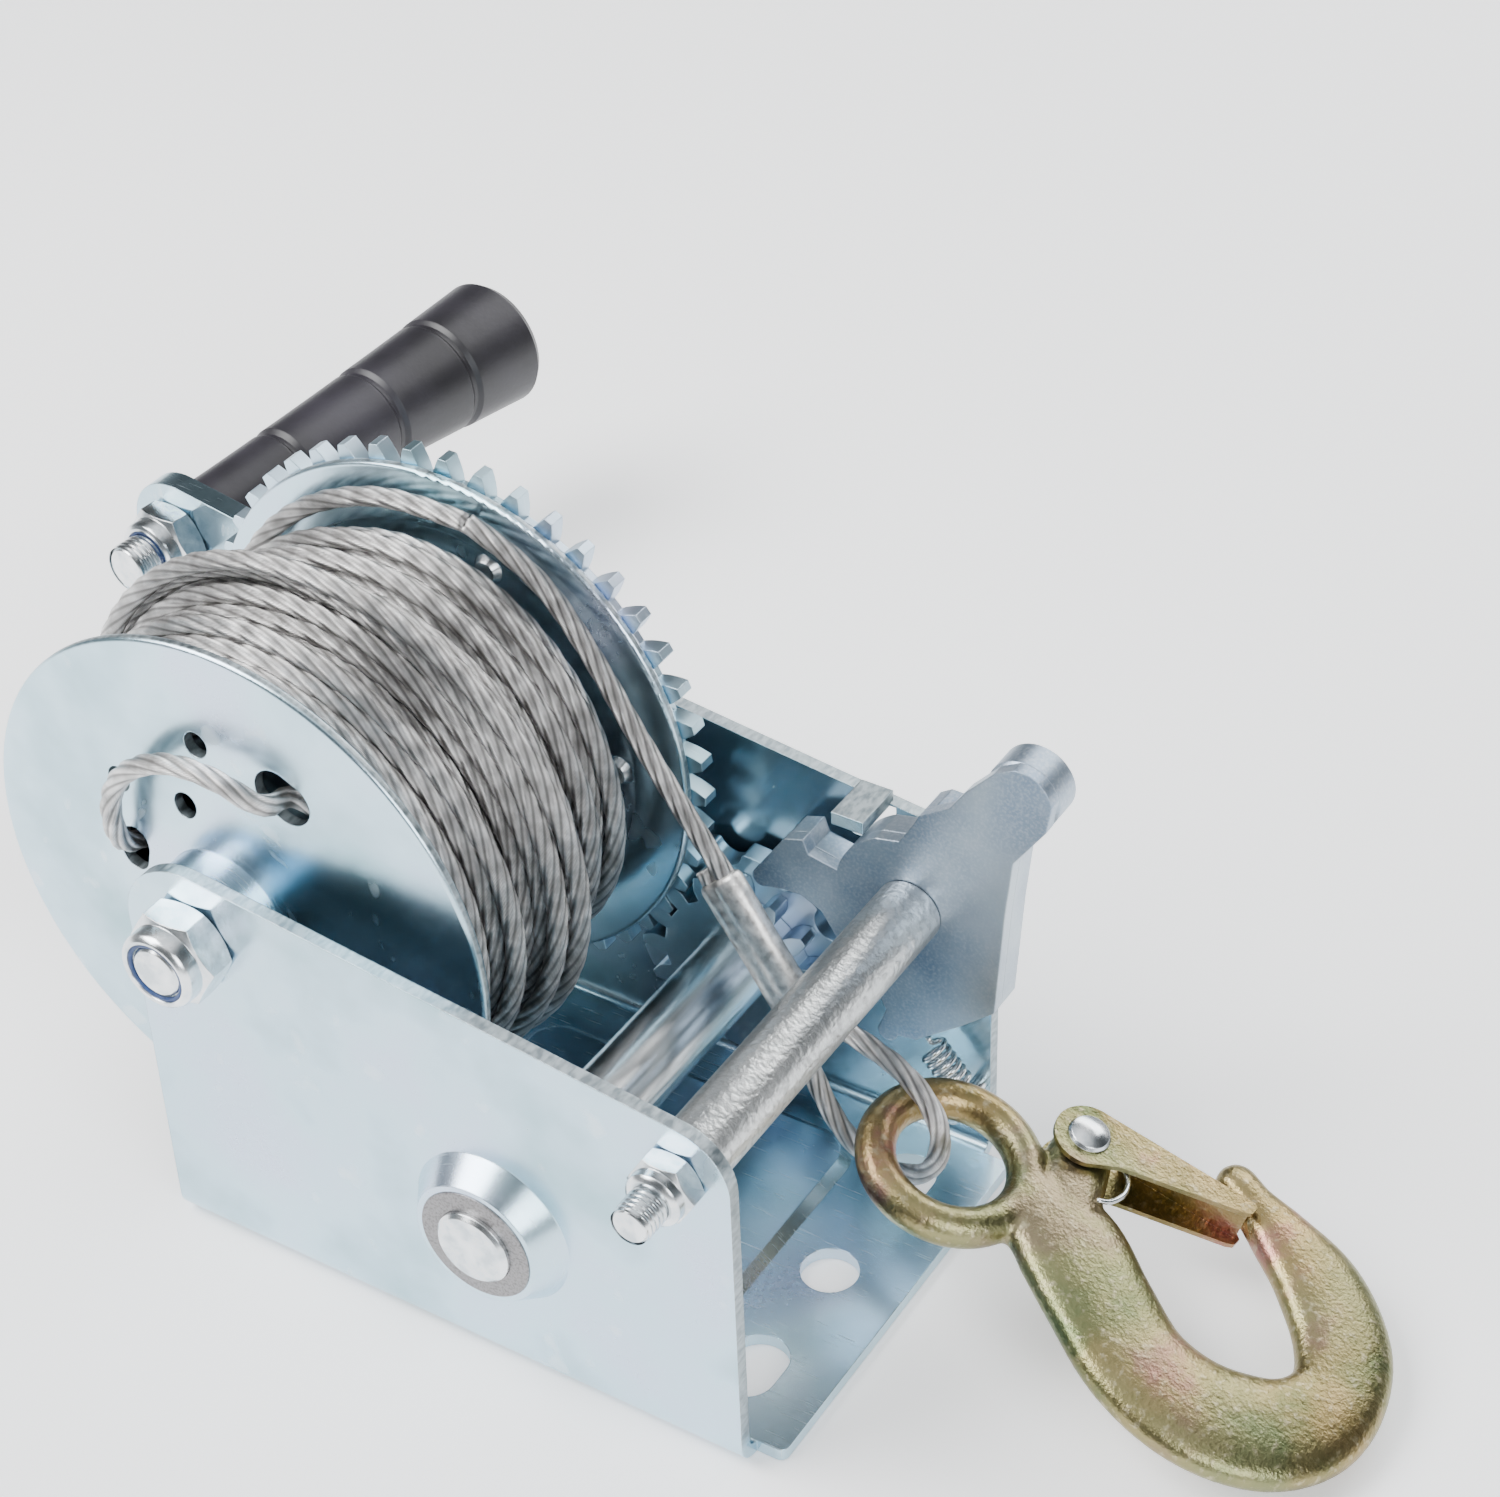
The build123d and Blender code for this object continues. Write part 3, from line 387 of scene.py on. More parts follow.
# ---- meshes ---------------------------------------------------------------------------------
def add_mesh(name, points, faces, material, body, uvs=None, sharp=35.0):
    """A smooth-shaded mesh piece that rides on a body."""
    mesh = bpy.data.meshes.new(name)
    mesh.from_pydata(points, [], faces)
    if uvs is not None:
        layer = mesh.uv_layers.new(name="UVMap")
        layer.data.foreach_set("uv", np.asarray(uvs, dtype=np.float32).ravel())
    mesh.materials.append(material)
    mesh.shade_smooth()
    if sharp:
        mesh.set_sharp_from_angle(angle=math.radians(sharp))
    piece = bpy.data.objects.new(name, mesh)
    bpy.context.scene.collection.objects.link(piece)
    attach(piece, body)
    return piece


def ring_faces(rings, corners, closed=False):
    """Quads between neighbouring rings of points, and from the last to the first if closed."""
    faces = []
    for ring in range(rings if closed else rings - 1):
        here, there = ring * corners, (ring + 1) % rings * corners
        for corner in range(corners):
            following = (corner + 1) % corners
            faces.append((here + corner, here + following, there + following, there + corner))
    return faces


def end_caps(count, corners):
    """The two flat ends of a run of rings that holds so many points."""
    return [tuple(range(corners - 1, -1, -1)), tuple(range(count - corners, count))]


def joined(*parts):
    """One list of points and one of faces, out of several pairs of them."""
    points, faces = [], []
    for part_points, part_faces in parts:
        faces += [tuple(i + len(points) for i in face) for face in part_faces]
        points += part_points
    return points, faces


def curve_points(name, control, spacing):
    """Evenly spaced points on the NURBS spline through a route's control points."""
    curve = bpy.data.curves.new(name, "CURVE")
    curve.dimensions = "3D"
    curve.resolution_u = 12
    spline = curve.splines.new("NURBS")
    spline.points.add(len(control) - 1)
    for point, place in zip(spline.points, control):
        point.co = (*place, 1.0)
    spline.order_u = 3
    spline.use_endpoint_u = True
    holder = bpy.data.objects.new(name, curve)
    mesh = bpy.data.meshes.new_from_object(holder)
    line = np.array([vertex.co[:] for vertex in mesh.vertices])
    bpy.data.meshes.remove(mesh)
    bpy.data.objects.remove(holder)
    bpy.data.curves.remove(curve)
    steps = np.linalg.norm(np.diff(line, axis=0), axis=1)
    keep = np.concatenate(([True], steps > 1e-7))
    line = line[keep]
    travel = np.concatenate(([0.0], np.cumsum(np.linalg.norm(np.diff(line, axis=0), axis=1))))
    count = max(2, round(travel[-1] / spacing) + 1)
    even = np.linspace(0.0, travel[-1], count)
    return np.stack([np.interp(even, travel, line[:, k]) for k in range(3)], axis=1), even


def tube_rings(line, radii, turns):
    """Rings of points round a line: radii per corner, turned along the way without twist."""
    tangents = np.gradient(line, axis=0)
    tangents /= np.linalg.norm(tangents, axis=1)[:, None]
    side = np.cross(tangents[0], (0.3, 0.5, 0.8))
    side /= np.linalg.norm(side)
    sides = np.empty_like(line)
    for k, tangent in enumerate(tangents):
        side = side - tangent * side.dot(tangent)
        side /= np.linalg.norm(side)
        sides[k] = side
    ups = np.cross(tangents, sides)
    count = len(radii)
    angles = np.arange(count) * (math.tau / count) + turns[:, None]
    wide = np.cos(angles) * radii
    tall = np.sin(angles) * radii
    return line[:, None] + wide[..., None] * sides[:, None] + tall[..., None] * ups[:, None]


def skin_rings(rings, travel):
    """Faces, points and UVs of a closed tube over rings."""
    count, corners = rings.shape[:2]
    points = rings.reshape(-1, 3)
    ring = np.arange(count - 1)[:, None] * corners
    here = np.arange(corners)[None, :]
    there = (here + 1) % corners
    faces = np.stack([ring + here, ring + there, ring + corners + there, ring + corners + here],
                     axis=-1).reshape(-1, 4)
    u0 = np.broadcast_to(here / corners, (count - 1, corners))
    u1 = u0 + 1.0 / corners
    v0 = np.broadcast_to(travel[:-1, None], (count - 1, corners))
    v1 = np.broadcast_to(travel[1:, None], (count - 1, corners))
    uvs = np.stack([u0, v0, u1, v0, u1, v1, u0, v1], axis=-1).reshape(-1, 2)
    caps = end_caps(len(points), corners)
    cap_uvs = [(k / corners, travel[0]) for k in range(corners - 1, -1, -1)]
    cap_uvs += [(k / corners, travel[-1]) for k in range(corners)]
    return points, [tuple(face) for face in faces.tolist()] + caps, np.concatenate(
        [uvs, np.array(cap_uvs)])


PRESSED_VALLEY = 0.84    # depth of the valleys between strands, as a share of the radius


def strand_radii(radius, per_strand):
    """Corner radii of six round strands pressed round a core, starting in a valley."""
    centre = radius * 2 / 3
    strand = radius / 3
    step = 360.0 / STRANDS
    radii = []
    for corner in range(STRANDS * per_strand):
        turn = math.radians(step * (corner % per_strand) / per_strand - step / 2)
        reach = max(0.0, strand ** 2 - (centre * math.sin(turn)) ** 2)
        round_strand = centre * math.cos(turn) + math.sqrt(reach)
        radii.append(max(round_strand, radius * PRESSED_VALLEY))
    return np.array(radii)


def laid_rope(line, travel, per_strand):
    """Points, faces and UVs of a six-strand rope along a line."""
    radii = strand_radii(ROPE_D / 2, per_strand)
    return skin_rings(tube_rings(line, radii, travel * (math.tau / ROPE_LAY)), travel)


def join_parts(parts):
    """One list of points, faces and UVs out of several."""
    points, faces, uvs = [], [], []
    for part_points, part_faces, part_uvs in parts:
        offset = sum(len(p) for p in points)
        points.append(part_points)
        faces += [tuple(i + offset for i in face) for face in part_faces]
        uvs.append(part_uvs)
    return np.concatenate(points), faces, np.concatenate(uvs)


# ---- rope -----------------------------------------------------------------------------------
FERRULE_TOP = Vector((20.5, 22.5, 77.5)) * MM
FERRULE_FOOT = Vector((41.0, 18.4, 54.6)) * MM
STRAND_SHIFT = Vector((22.9, 0, 20.5)).normalized() * 2.3 * MM


def free_rope():
    """The free end: off the drum, through the ferrule, round the hook's eye and back."""
    tail = [(-43.0, 31.2, 139.2), (-28.5, 31.0, 134.2), (-14.5, 29.4, 121.2), (3.6, 25.4, 98.9)]
    loop = [(56.5, 15.4, 56.0), (70.5, 12.6, 54.4), (79.0, 10.8, 47.0), (79.6, 10.4, 36.8),
            (74.0, 11.4, 27.6), (63.8, 13.6, 23.6), (53.6, 15.8, 26.4), (46.4, 17.0, 36.0)]
    stub = FERRULE_TOP - STRAND_SHIFT + (FERRULE_TOP - FERRULE_FOOT).normalized() * 3.0 * MM
    control = [Vector(p) * MM for p in tail] + [FERRULE_TOP + STRAND_SHIFT,
                                                FERRULE_FOOT + STRAND_SHIFT]
    control += [Vector(p) * MM for p in loop] + [FERRULE_FOOT - STRAND_SHIFT,
                                                 FERRULE_TOP - STRAND_SHIFT, stub]
    line, travel = curve_points("free_rope_route", control, 0.9 * MM)
    points, faces, uvs = laid_rope(line, travel, 8)
    rope = add_mesh("free_rope", points, faces, ROPE, "frame", uvs, 0)
    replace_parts(rope, "rope_tail", "rope_loop", "rope_stub")


HUB_R = 32.0 * MM
PACK_NEAR, PACK_FAR = -33.7 * MM, 31.2 * MM
POINTS_PER_TURN = 24
BURIED_RADIUS = 44.0 * MM    # turns nearer the axle don't show, and are a plain tube
TAIL_ANGLE, TAIL_RADIUS = 76.7, 56.7 * MM    # where the free end leaves the winding
# passes from flange to flange: turns, first and last y, lean and wander of the turns
PASSES = ((13.4, PACK_NEAR, PACK_FAR, 0.0, 0.2), (13.2, PACK_FAR, PACK_NEAR, 0.4, 0.3),
          (12.6, PACK_NEAR, PACK_FAR, 0.6, 0.5), (11.6, PACK_FAR, PACK_NEAR, 1.0, 0.8),
          (6.4, PACK_NEAR, -2.0 * MM, 2.4, 1.8), (1.2, -2.0 * MM, -12.0 * MM, 1.0, 1.0),
          (4.4, -12.0 * MM, PACK_FAR, 2.0, 1.4))


LEAN_PACE, WANDER_PACE = 0.53, 0.29    # neither repeats within a few turns


def on_drum(radius, degrees, y):
    """A point from a radius and an angle about the drum's axis."""
    angle = math.radians(degrees)
    return (DRUM.x + radius * math.cos(angle), y, DRUM.z + radius * math.sin(angle))


def winding_ys():
    """The y of every station of the winding."""
    ys = []
    for turns, first, last, lean, wander in PASSES:
        count = round(turns * POINTS_PER_TURN)
        for k in range(count):
            share = (k + 1) / count
            ease = math.sin(math.pi * share)
            angle = math.tau * k / POINTS_PER_TURN
            y = first + (last - first) * share
            y += lean * MM * ease * math.sin(angle * LEAN_PACE + turns)
            y += (wander * MM * ease * math.sin(angle * WANDER_PACE + 2.0 * turns)
                  * math.cos(angle))
            ys.append(min(PACK_FAR, max(PACK_NEAR, y)))
    spare = (len(ys) + 1) % POINTS_PER_TURN    # so that the inner end keeps its angle
    return ys[spare:]


def wound_stations():
    """The winding as (degrees, radius, y), every turn resting on what lies under it."""
    ys = winding_ys()
    laid = [[] for _ in range(POINTS_PER_TURN)]
    seats = []
    reach = ROPE_D * 0.97
    for k, y in enumerate(ys):
        seat = HUB_R + ROPE_D / 2
        for under, under_y in laid[k % POINTS_PER_TURN]:
            gap = abs(y - under_y)
            if gap < reach:
                seat = max(seat, under + math.sqrt(reach ** 2 - gap ** 2))
        laid[k % POINTS_PER_TURN].append((seat, y))
        seats.append(seat)
    seats = np.array(seats)
    padded = np.pad(seats, 3, mode="edge")
    crest = np.max([padded[k:k + len(seats)] for k in range(1, 6)], axis=0)
    padded = np.pad(crest, 3, mode="edge")
    smooth = np.mean([padded[k:k + len(seats)] for k in range(7)], axis=0)
    last = 20    # stations that rise to the free end
    ramp = np.linspace(0.0, 1.0, last) ** 2
    smooth[-last:] += (TAIL_RADIUS - smooth[-last:]) * ramp
    step = 360.0 / POINTS_PER_TURN
    first = TAIL_ANGLE + step * (len(ys) - 1)
    return [(first - step * k, smooth[k], y) for k, y in enumerate(ys)]


def drum_rope():
    """The winding, and its inner end through the near flange's holes as the anchor loop."""
    end_hole = (24.3, 166.0)
    rope_hole = (37.9, 62.8)
    anchor = [(*end_hole, -29.5), (*end_hole, -43.6), (31.0, 143.0, -45.2),
              (36.0, 122.0, -45.8), (39.0, 100.0, -46.0), (39.5, 80.0, -45.8),
              (*rope_hole, -44.6), (*rope_hole, -36.2)]
    outside = [on_drum(radius * MM, degrees, y * MM) for radius, degrees, y in anchor]
    swell = 1.0 / math.cos(math.pi / POINTS_PER_TURN)
    stations = wound_stations()
    wound = [on_drum(radius * (swell if k < len(stations) - 1 else 1.0), degrees, y)
             for k, (degrees, radius, y) in enumerate(stations)]
    control = outside + [on_drum(36.5 * MM, 45.0, PACK_NEAR + 0.3 * MM)] + wound
    fine, fine_travel = curve_points("drum_rope_route", control, 1.6 * MM)
    radii = np.hypot(fine[:, 0] - DRUM.x, fine[:, 2] - DRUM.z)
    anchor_end, first_turn = 60, 200    # points along the rope
    in_sight = (radii > BURIED_RADIUS) & (np.arange(len(fine)) > first_turn)
    hidden_until = np.argmax(in_sight)
    parts = [laid_rope(fine[:anchor_end], fine_travel[:anchor_end], 8)]
    inner = slice(anchor_end - 1, hidden_until + 1, 3)
    plain = np.full(8, ROPE_D / 2)
    inner_line, inner_travel = fine[inner], fine_travel[inner]
    parts.append(skin_rings(tube_rings(inner_line, plain, inner_travel * 0), inner_travel))
    outer_line, outer_travel = fine[hidden_until - 2:], fine_travel[hidden_until - 2:]
    parts.append(laid_rope(outer_line, outer_travel, 4))
    points, faces, uvs = join_parts(parts)
    rope = add_mesh("drum_rope", points, faces, ROPE, "drum", uvs, 0)
    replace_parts(rope, "rope_wound", "rope_anchor_loop")


drum_rope()


# ---- turned and threaded pieces ---------------------------------------------------------------
def axis_frame(origin, axis):
    """Axes for a piece that stands on origin along axis."""
    return Matrix.Translation(origin) @ Vector(axis).to_track_quat("Z", "Y").to_matrix().to_4x4()


def lathe(name, rings, place, material, body, closed=False, sharp=32.0):
    """Rings of (radius or radii, height or heights), each a list over the same corners."""
    count = len(rings[0][0])
    points = []
    for radii, heights in rings:
        for k in range(count):
            angle = math.tau * k / count
            points.append(place @ Vector((radii[k] * math.cos(angle),
                                          radii[k] * math.sin(angle), heights[k])))
    faces = ring_faces(len(rings), count, closed)
    return add_mesh(name, points, faces, material, body, None, sharp)


CHAMFER_SLOPE = 0.577    # 30 degrees, on a nut's turned corners


def lock_nut(node, place, body, across, height, bore):
    """Hexagon nut with turned chamfers, a rolled collar and a blue insert."""
    count = 96
    flat = across / 2
    corner = [flat / math.cos((math.tau * k / count) % (math.pi / 3) - math.pi / 6)
              for k in range(count)]

    def level(radius, z):
        return [radius] * count, [z] * count

    hexagon = height * 0.64
    lower = [max(0.0, r - flat * 0.97) * CHAMFER_SLOPE for r in corner]
    upper = [hexagon - max(0.0, r - flat * 0.95) * CHAMFER_SLOPE for r in corner]
    collar = flat * 0.93
    rings = [level(bore, 0.0), level(flat * 0.94, 0.0), (corner, lower), (corner, upper),
             level(flat * 0.94, hexagon), level(collar, hexagon + 0.3 * MM),
             level(collar, height * 0.88), level(collar - 0.4 * MM, height * 0.95),
             level(collar - 1.2 * MM, height), level(collar - 1.9 * MM, height * 0.985),
             level(collar - 2.1 * MM, height * 0.93), level(bore + 0.1 * MM, height * 0.92),
             level(bore, height * 0.90)]
    nut = lathe(node + "_hex", rings, place, BRIGHT, body, closed=True, sharp=28.0)
    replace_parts(nut, node)
    inner = bore + 0.05 * MM
    outer = collar - 1.9 * MM
    insert = [level(inner, height * 0.90), level(outer, height * 0.90),
              level(outer, height * 0.955), level((inner + outer) / 2, height * 0.968),
              level(inner, height * 0.955)]
    lathe(node + "_insert", insert, place, NYLON, body, closed=True, sharp=0)


def thread(name, place, body, radius, start, end, pitch):
    """A screw thread over a bolt's end, tapering out at the tip."""
    count = 32
    rows = max(4, round((end - start) / pitch * 6))
    rings = []
    for row in range(rows + 1):
        z = start + (end - start) * row / rows
        fade = min(1.0, (end - z) / pitch, (z - start) / pitch * 2.0 + 0.2)
        radii = []
        for k in range(count):
            wave = abs(((z / pitch - k / count) % 1.0) * 2.0 - 1.0)
            radii.append(radius + 0.04 * MM + pitch * 0.24 * wave * max(0.0, fade))
        rings.append((radii, [z] * count))
    return lathe(name, rings, place, BRIGHT, body, sharp=0)


def near_end(node):
    """The y of a node's end on the near side."""
    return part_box(node)[0][1]


def fasteners():
    """Lock nuts and threads of the axle, tie bolt, crank and grip."""
    cheek = 52.5 * MM    # outer face of the near cheek, from the middle
    near_axle = axis_frame((DRUM.x, -cheek, DRUM.z), (0, -1, 0))
    lock_nut("drum_axle_nut", near_axle, "frame", 19.0 * MM, 12.0 * MM, 6.0 * MM)
    near_tie = axis_frame((TIE.x, -cheek, TIE.z), (0, -1, 0))
    lock_nut("tie_nut", near_tie, "frame", 13.0 * MM, 8.0 * MM, 4.0 * MM)
    tie_tip = -near_end("tie_bolt") - cheek
    thread("tie_thread", near_tie, "frame", 4.0 * MM, 8.0 * MM, tie_tip, 1.25 * MM)
    crank_seat = axis_frame((SHAFT.x, near_end("crank_nut"), SHAFT.z), (0, 1, 0))
    lock_nut("crank_nut", crank_seat, "crank", 19.0 * MM, 10.0 * MM, 6.0 * MM)
    arm_half = 3.0 * MM
    grip_seat = axis_frame(GRIP - GRIP_AXIS * arm_half, -GRIP_AXIS)
    lock_nut("grip_nut", grip_seat, "crank", 19.0 * MM, 11.0 * MM, 6.0 * MM)
    thread("grip_thread", grip_seat, "crank", 6.0 * MM, 11.0 * MM, 18.0 * MM, 1.5 * MM)


fasteners()


def ferrule():
    """Pressed oval sleeve round both ropes: a waist along its length and rolled ends."""
    run = FERRULE_FOOT - FERRULE_TOP
    along = run.normalized()
    wide = STRAND_SHIFT.normalized()
    tall = along.cross(wide).normalized()
    half_wide, half_tall, waist_width = 5.6 * MM, 3.45 * MM, 1.1 * MM
    count = 56
    points = []
    stations = ((0.0, 0.80), (0.012, 0.93), (0.04, 1.0), (0.25, 1.0), (0.5, 0.985), (0.75, 1.0),
                (0.96, 1.0), (0.988, 0.93), (1.0, 0.80))
    for share, size in stations:
        for k in range(count):
            angle = math.tau * k / count
            x = half_wide * math.copysign(abs(math.cos(angle)) ** 0.85, math.cos(angle))
            waist = 1.0 - 0.16 * math.exp(-(x / waist_width) ** 2)
            z = half_tall * math.copysign(abs(math.sin(angle)) ** 0.9, math.sin(angle)) * waist
            points.append(FERRULE_TOP + run * share + wide * x * size + tall * z * size)
    faces = ring_faces(len(stations), count) + end_caps(len(points), count)
    sleeve = add_mesh("ferrule_sleeve", points, faces, SLEEVE, "frame",
                      None, 40)
    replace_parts(sleeve, "rope_ferrule")


ferrule()


def bar_loft(stations, plane, corners=40, squareness=2.6):
    """Points and faces of a forged bar: rounded sections across a spine in the plane.

    Each station is (u, v, half width, half thickness)."""
    spine = [Vector(station[:2]) for station in stations]
    points = []
    for k, (_, _, wide, thick) in enumerate(stations):
        run = spine[min(k + 1, len(spine) - 1)] - spine[max(k - 1, 0)]
        across = Vector((-run.y, run.x)).normalized()
        for corner in range(corners):
            angle = math.tau * corner / corners
            c, s = math.cos(angle), math.sin(angle)
            reach = math.copysign(abs(c) ** (2 / squareness), c) * wide
            rise = math.copysign(abs(s) ** (2 / squareness), s) * thick
            at = spine[k] + across * reach
            points.append(plane @ Vector((at.x, at.y, rise)))
    return points, ring_faces(len(stations), corners) + end_caps(len(points), corners)


def smooth_stations(stations, per_span=6):
    """Catmull-Rom stations between the given ones."""
    rows = np.array(stations)
    padded = np.vstack([2 * rows[0] - rows[1], rows, 2 * rows[-1] - rows[-2]])
    out = []
    for k in range(1, len(padded) - 2):
        p0, p1, p2, p3 = padded[k - 1:k + 3]
        for step in range(per_span):
            t = step / per_span
            out.append(0.5 * (2 * p1 + (p2 - p0) * t + (2 * p0 - 5 * p1 + 4 * p2 - p3) * t ** 2
                              + (3 * p1 - p0 - 3 * p2 + p3) * t ** 3))
    out.append(rows[-1])
    return [tuple(row) for row in out]


def fuse(piece, voxel, smoothing):
    """One skin over overlapping parts, softened as a forging is."""
    for kind, settings in (("REMESH", {"mode": "VOXEL", "voxel_size": voxel}),
                           ("SMOOTH", {"factor": 0.5, "iterations": smoothing})):
        modifier = piece.modifiers.new(kind.lower(), kind)
        for name, value in settings.items():
            setattr(modifier, name, value)
        with bpy.context.temp_override(object=piece, active_object=piece,
                                       selected_objects=[piece]):
            bpy.ops.object.modifier_apply(modifier=modifier.name)
    piece.data.shade_smooth()


EYE = Vector((81.2, 11.8, 35.4)) * MM
HOOK_TILT = math.radians(18.0)


def hook_plane():
    """The hook's own axes: along the shank, across it, and out of its flat face."""
    along = Vector((math.cos(HOOK_TILT), 0, -math.sin(HOOK_TILT)))
    out = Vector((math.sin(HOOK_TILT), 0, math.cos(HOOK_TILT)))
    turn = Matrix((along, Vector((0, 1, 0)), out)).transposed().to_4x4()
    return Matrix.Translation(EYE) @ turn @ Matrix.Scale(MM, 4)


EYE_RADIUS, EYE_BAR = 16.0, 4.3    # the eye's ring and its round bar, in millimetres


def eye_ring(plane, around=72, section=20):
    """Points and faces of the hook's eye, a round bar bent to a ring."""
    points = []
    for k in range(around):
        turn = math.tau * k / around
        for corner in range(section):
            angle = math.tau * corner / section
            reach = EYE_RADIUS + EYE_BAR * math.cos(angle)
            points.append(plane @ Vector((reach * math.cos(turn), reach * math.sin(turn),
                                          EYE_BAR * math.sin(angle))))
    return points, [face[::-1] for face in ring_faces(around, section, closed=True)]


def forged_hook():
    """Eye, shank, lug for the latch and a wide bowl that narrows to the tip, as one forging."""
    plane = hook_plane()
    bowl = [(14.5, 2.0, 9.0, 4.3), (20.0, 1.5, 10.0, 4.4), (29.0, -1.2, 12.2, 4.5),
            (40.5, -8.8, 12.0, 4.5), (53.5, -16.4, 12.0, 4.5), (67.0, -18.2, 12.6, 4.5),
            (79.0, -14.2, 12.6, 4.5), (86.8, -6.0, 11.2, 4.5), (89.0, 5.0, 9.9, 4.4),
            (84.6, 16.6, 10.4, 4.4), (74.4, 26.4, 9.8, 4.4), (62.6, 31.8, 7.0, 4.3),
            (54.6, 34.8, 4.6, 4.2), (49.0, 37.2, 4.3, 4.0), (46.4, 38.4, 3.0, 2.8),
            (45.3, 38.9, 1.0, 1.0)]
    lug = [(25.0, 4.0, 7.2, 4.3), (22.5, 12.0, 7.0, 4.3), (20.0, 20.0, 6.8, 4.3),
           (19.0, 25.0, 4.8, 4.0), (18.8, 26.8, 2.0, 2.0)]
    points, faces = joined(bar_loft(smooth_stations(bowl), plane),
                           bar_loft(smooth_stations(lug), plane), eye_ring(plane))
    hook = add_mesh("forged_hook", points, faces, GOLD, "hook", None, 0)
    fuse(hook, voxel=0.75 * MM, smoothing=5)
    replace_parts(hook, "hook")


forged_hook()


def flat_sheet(outline, plane, low, high):
    """A sheet cut to an outline in the plane, between two heights over it."""
    count = len(outline)
    points = [plane @ Vector((u, v, w)) for w in (low, high) for u, v in outline]
    faces = [tuple(range(count - 1, -1, -1)), tuple(range(count, 2 * count))]
    faces += [(k, (k + 1) % count, count + (k + 1) % count, count + k) for k in range(count)]
    return points, faces


LATCH_PIVOT = (19.6, 21.1)    # in the hook's own axes, in millimetres
LATCH_SIDE, LATCH_SHEET = 5.0, 1.2


def folded_latch():
    """Folded sheet latch: two tapering sides with round ears, and the web between them."""
    plane = hook_plane()
    ear = 7.4
    arc = [math.radians(a) for a in range(87, 301, 9)]
    side = [(LATCH_PIVOT[0] + ear * math.cos(a), LATCH_PIVOT[1] + ear * math.sin(a)) for a in arc]
    side += [(28.4, 18.3), (32.0, 19.6), (54.2, 26.7), (55.6, 27.6), (55.9, 29.6), (55.0, 30.4)]
    web = [(27.5, 27.6), (54.9, 29.1), (54.8, 30.3), (27.4, 28.8)]
    reach = LATCH_SIDE + LATCH_SHEET
    points, faces = joined(flat_sheet(side, plane, LATCH_SIDE, reach),
                           flat_sheet(side, plane, -reach, -LATCH_SIDE),
                           flat_sheet(web, plane, -LATCH_SIDE, LATCH_SIDE))
    latch = add_mesh("folded_latch", points, faces, LATCH_GOLD, "latch", None, 30)
    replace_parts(latch, "latch")


def wire(name, control, radius, body):
    """A round wire along a smooth route."""
    line, travel = curve_points(name + "_route", control, radius * 1.2)
    points, faces, uvs = skin_rings(tube_rings(line, np.full(10, radius), travel * 0), travel)
    return add_mesh(name, points, faces, SPRING, body, uvs, 0)


def latch_fittings():
    """The domed rivet of the latch and its bent spring wire."""
    plane = hook_plane()
    count = 40
    half = [(2.4, 6.2), (4.6, 6.25), (4.6, 6.6), (4.1, 7.3), (2.6, 7.9), (1.2, 8.1), (0.02, 8.15)]
    profile = [(radius, -height) for radius, height in reversed(half)] + half
    place = plane @ Matrix.Translation((*LATCH_PIVOT, 0.0))
    rings = [([radius] * count, [height] * count) for radius, height in profile]
    rivet = lathe("latch_rivet_domed", rings, place, BRIGHT, "hook")
    rivet.data.validate()
    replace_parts(rivet, "latch_rivet")
    route = [(24.0, 22.5, 3.9), (30.5, 20.5, 3.9), (32.6, 15.5, 3.9), (31.6, 11.8, 4.4),
             (30.4, 9.6, 4.9), (28.6, 8.6, 5.2)]
    spring = wire("latch_wire", [plane @ Vector(place) for place in route], 0.55 * MM, "hook")
    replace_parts(spring, "latch_spring")


def pawl_coil():
    """The pawl's coil spring with its end hooks, in the place of the plain spring node."""
    low, high = (Vector(corner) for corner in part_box("pawl_spring"))
    middle = (low + high) / 2
    run = Vector((8.5, 0.0, -9.5)) * MM
    axis = run.normalized()
    side = Vector((0, 1, 0))
    up = axis.cross(side)
    coil_r, wire_r, turns, per_turn = 3.0 * MM, 0.65 * MM, 6, 12
    coiled = 0.84    # share of the run
    start = middle - run * coiled / 2
    control = [start - axis * 2.6 * MM + up * 1.0 * MM, start - axis * 1.2 * MM]
    for k in range(turns * per_turn + 1):
        angle = math.tau * k / per_turn
        at = start + run * coiled * k / (turns * per_turn)
        control.append(at + (side * math.cos(angle) + up * math.sin(angle)) * coil_r)
    control += [middle + run * 0.5, middle + run * 0.5 + axis * 1.6 * MM]
    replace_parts(wire("pawl_coil", control, wire_r, "frame"), "pawl_spring")


pawl_coil()
folded_latch()
latch_fittings()


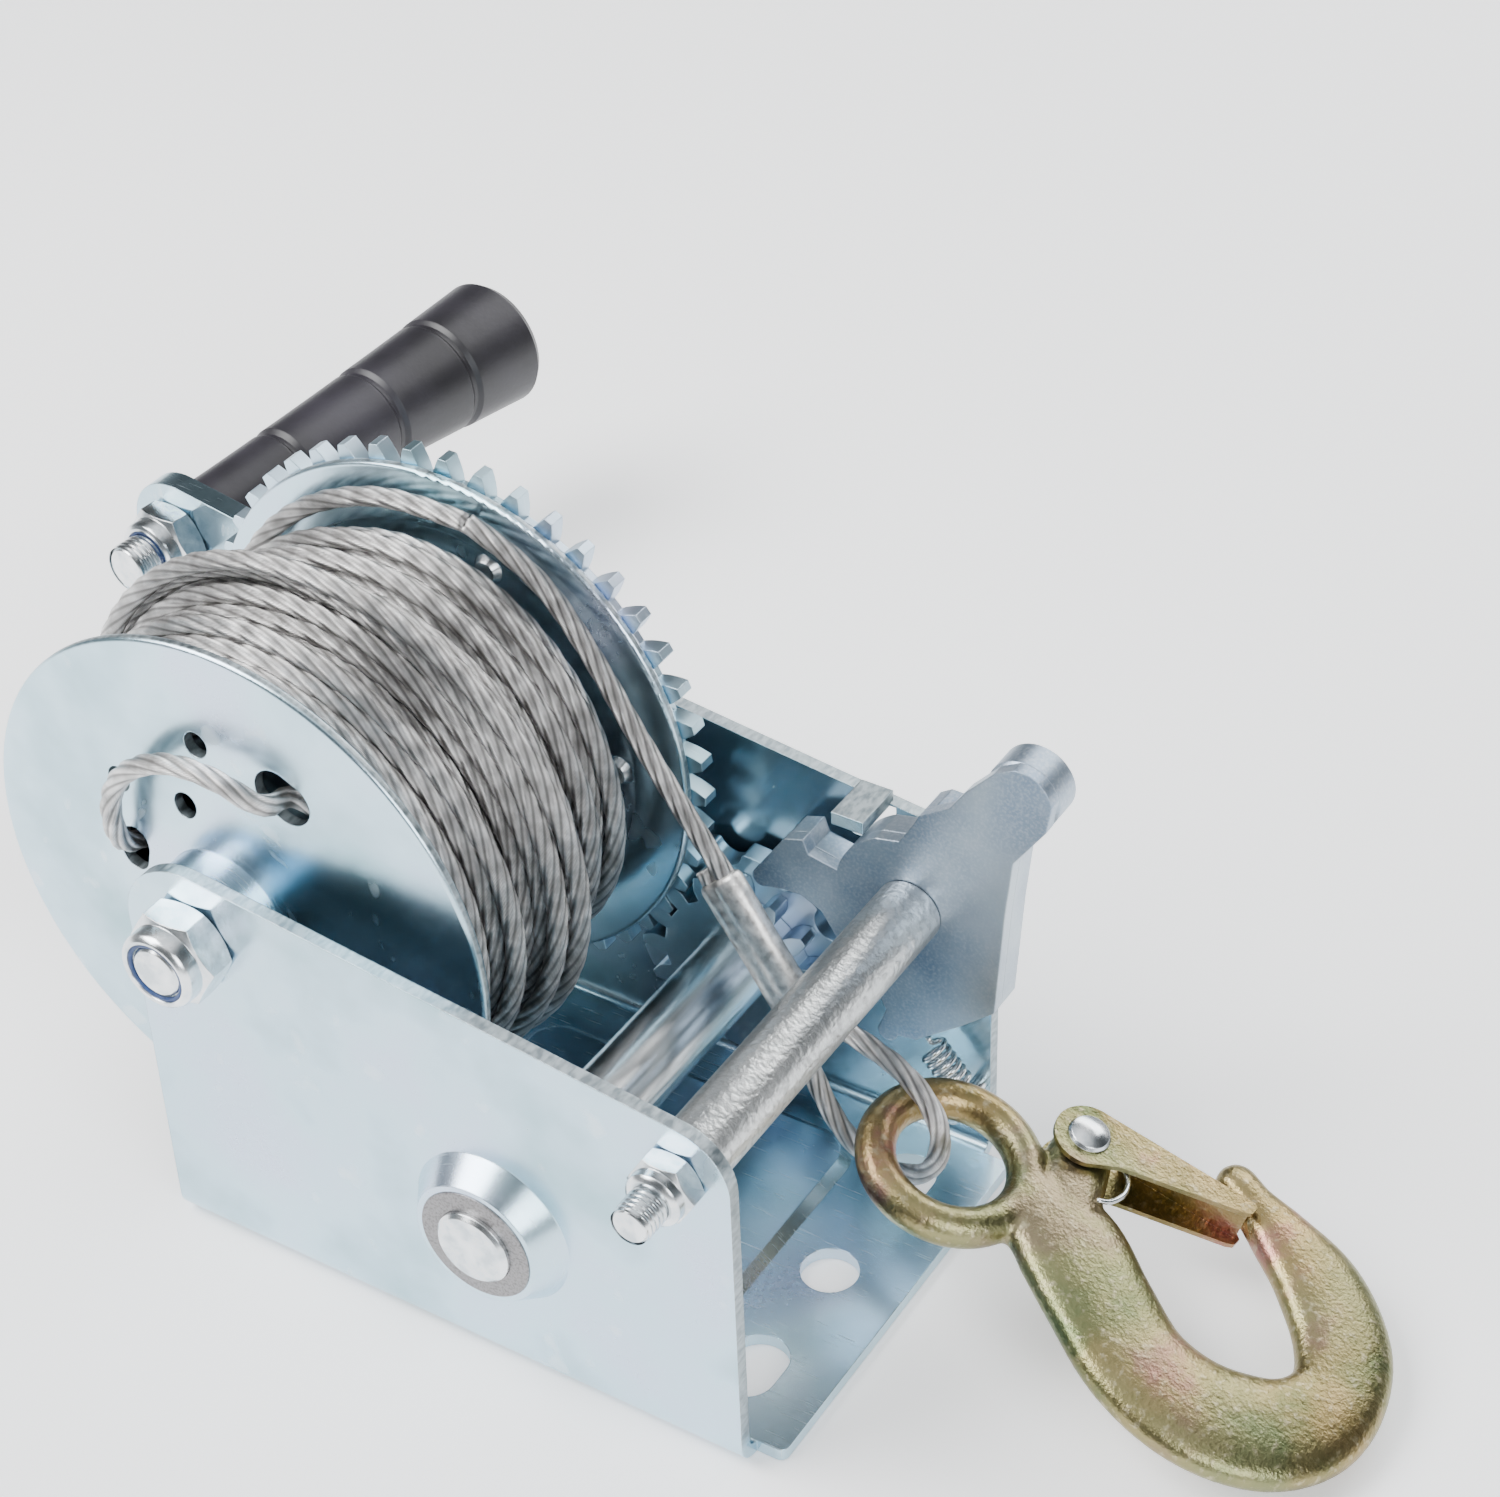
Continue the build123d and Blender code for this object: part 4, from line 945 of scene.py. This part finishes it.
# ---- floor and light --------------------------------------------------------------------------
def pale_floor():
    """A plain pale floor under everything."""
    mesh = bpy.data.meshes.new("floor")
    size = 6.0
    mesh.from_pydata([(-size, -size, 0), (size, -size, 0), (size, size, 0), (-size, size, 0)],
                     [], [(0, 1, 2, 3)])
    finish = Finish("pale floor", metallic=0.0)
    paper = finish.noise(3.0, 2.0)
    finish.show(finish.ramp(paper, (0.3, (0.93, 0.94, 0.95)), (0.7, (0.95, 0.95, 0.96))), 0.8)
    finish.shader.inputs["Emission Color"].default_value = (1.0, 1.0, 1.0, 1.0)
    finish.shader.inputs["Emission Strength"].default_value = 0.45
    mesh.materials.append(finish.material)
    floor = bpy.data.objects.new("floor", mesh)
    floor.location.z = -0.3 * MM
    bpy.context.scene.collection.objects.link(floor)


ROOM_TINT = (0.95, 0.985, 1.02)    # a little cool


def studio_world():
    """Soft studio room: a bright ceiling over dark walls."""
    world = bpy.data.worlds.new("studio")
    world.use_nodes = True
    tree = world.node_tree
    background = tree.nodes["Background"]
    at = tree.nodes.new("ShaderNodeTexCoord")
    split = tree.nodes.new("ShaderNodeSeparateXYZ")
    ramp = tree.nodes.new("ShaderNodeValToRGB")
    stops = ((0.0, 0.45), (0.44, 0.12), (0.60, 0.08), (0.79, 0.14), (0.90, 1.2), (1.0, 1.9))
    while len(ramp.color_ramp.elements) < len(stops):
        ramp.color_ramp.elements.new(0.5)
    for stop, (height, light) in zip(ramp.color_ramp.elements, stops):
        stop.position = height
        stop.color = (*(light * share for share in ROOM_TINT), 1.0)
    tree.links.new(at.outputs["Generated"], split.inputs[0])
    tree.links.new(split.outputs["Z"], ramp.inputs[0])
    tree.links.new(ramp.outputs[0], background.inputs["Color"])
    background.inputs["Strength"].default_value = 0.8
    bpy.context.scene.world = world


def softbox(name, place, target, size, power, colour=(1, 1, 1)):
    """A square area light that faces a point."""
    data = bpy.data.lights.new(name, "AREA")
    data.shape = "RECTANGLE"
    data.size, data.size_y = size
    data.energy = power
    data.color = colour
    lamp = bpy.data.objects.new(name, data)
    aim = (Vector(target) - Vector(place)).to_track_quat("-Z", "Y").to_matrix().to_4x4()
    lamp.matrix_world = Matrix.Translation(place) @ aim
    bpy.context.scene.collection.objects.link(lamp)


free_rope()    # after the ferrule's sleeve
pale_floor()
studio_world()
softbox("key", (-0.7, -0.5, 1.1), (0, 0, 0.06), (0.9, 0.9), 34.0)
softbox("fill", (1.1, -0.7, 0.8), (0, 0, 0.06), (0.8, 0.8), 16.0, (0.96, 0.98, 1.0))
softbox("back", (0.1, 1.2, 0.9), (0, 0, 0.06), (1.2, 0.6), 16.0)
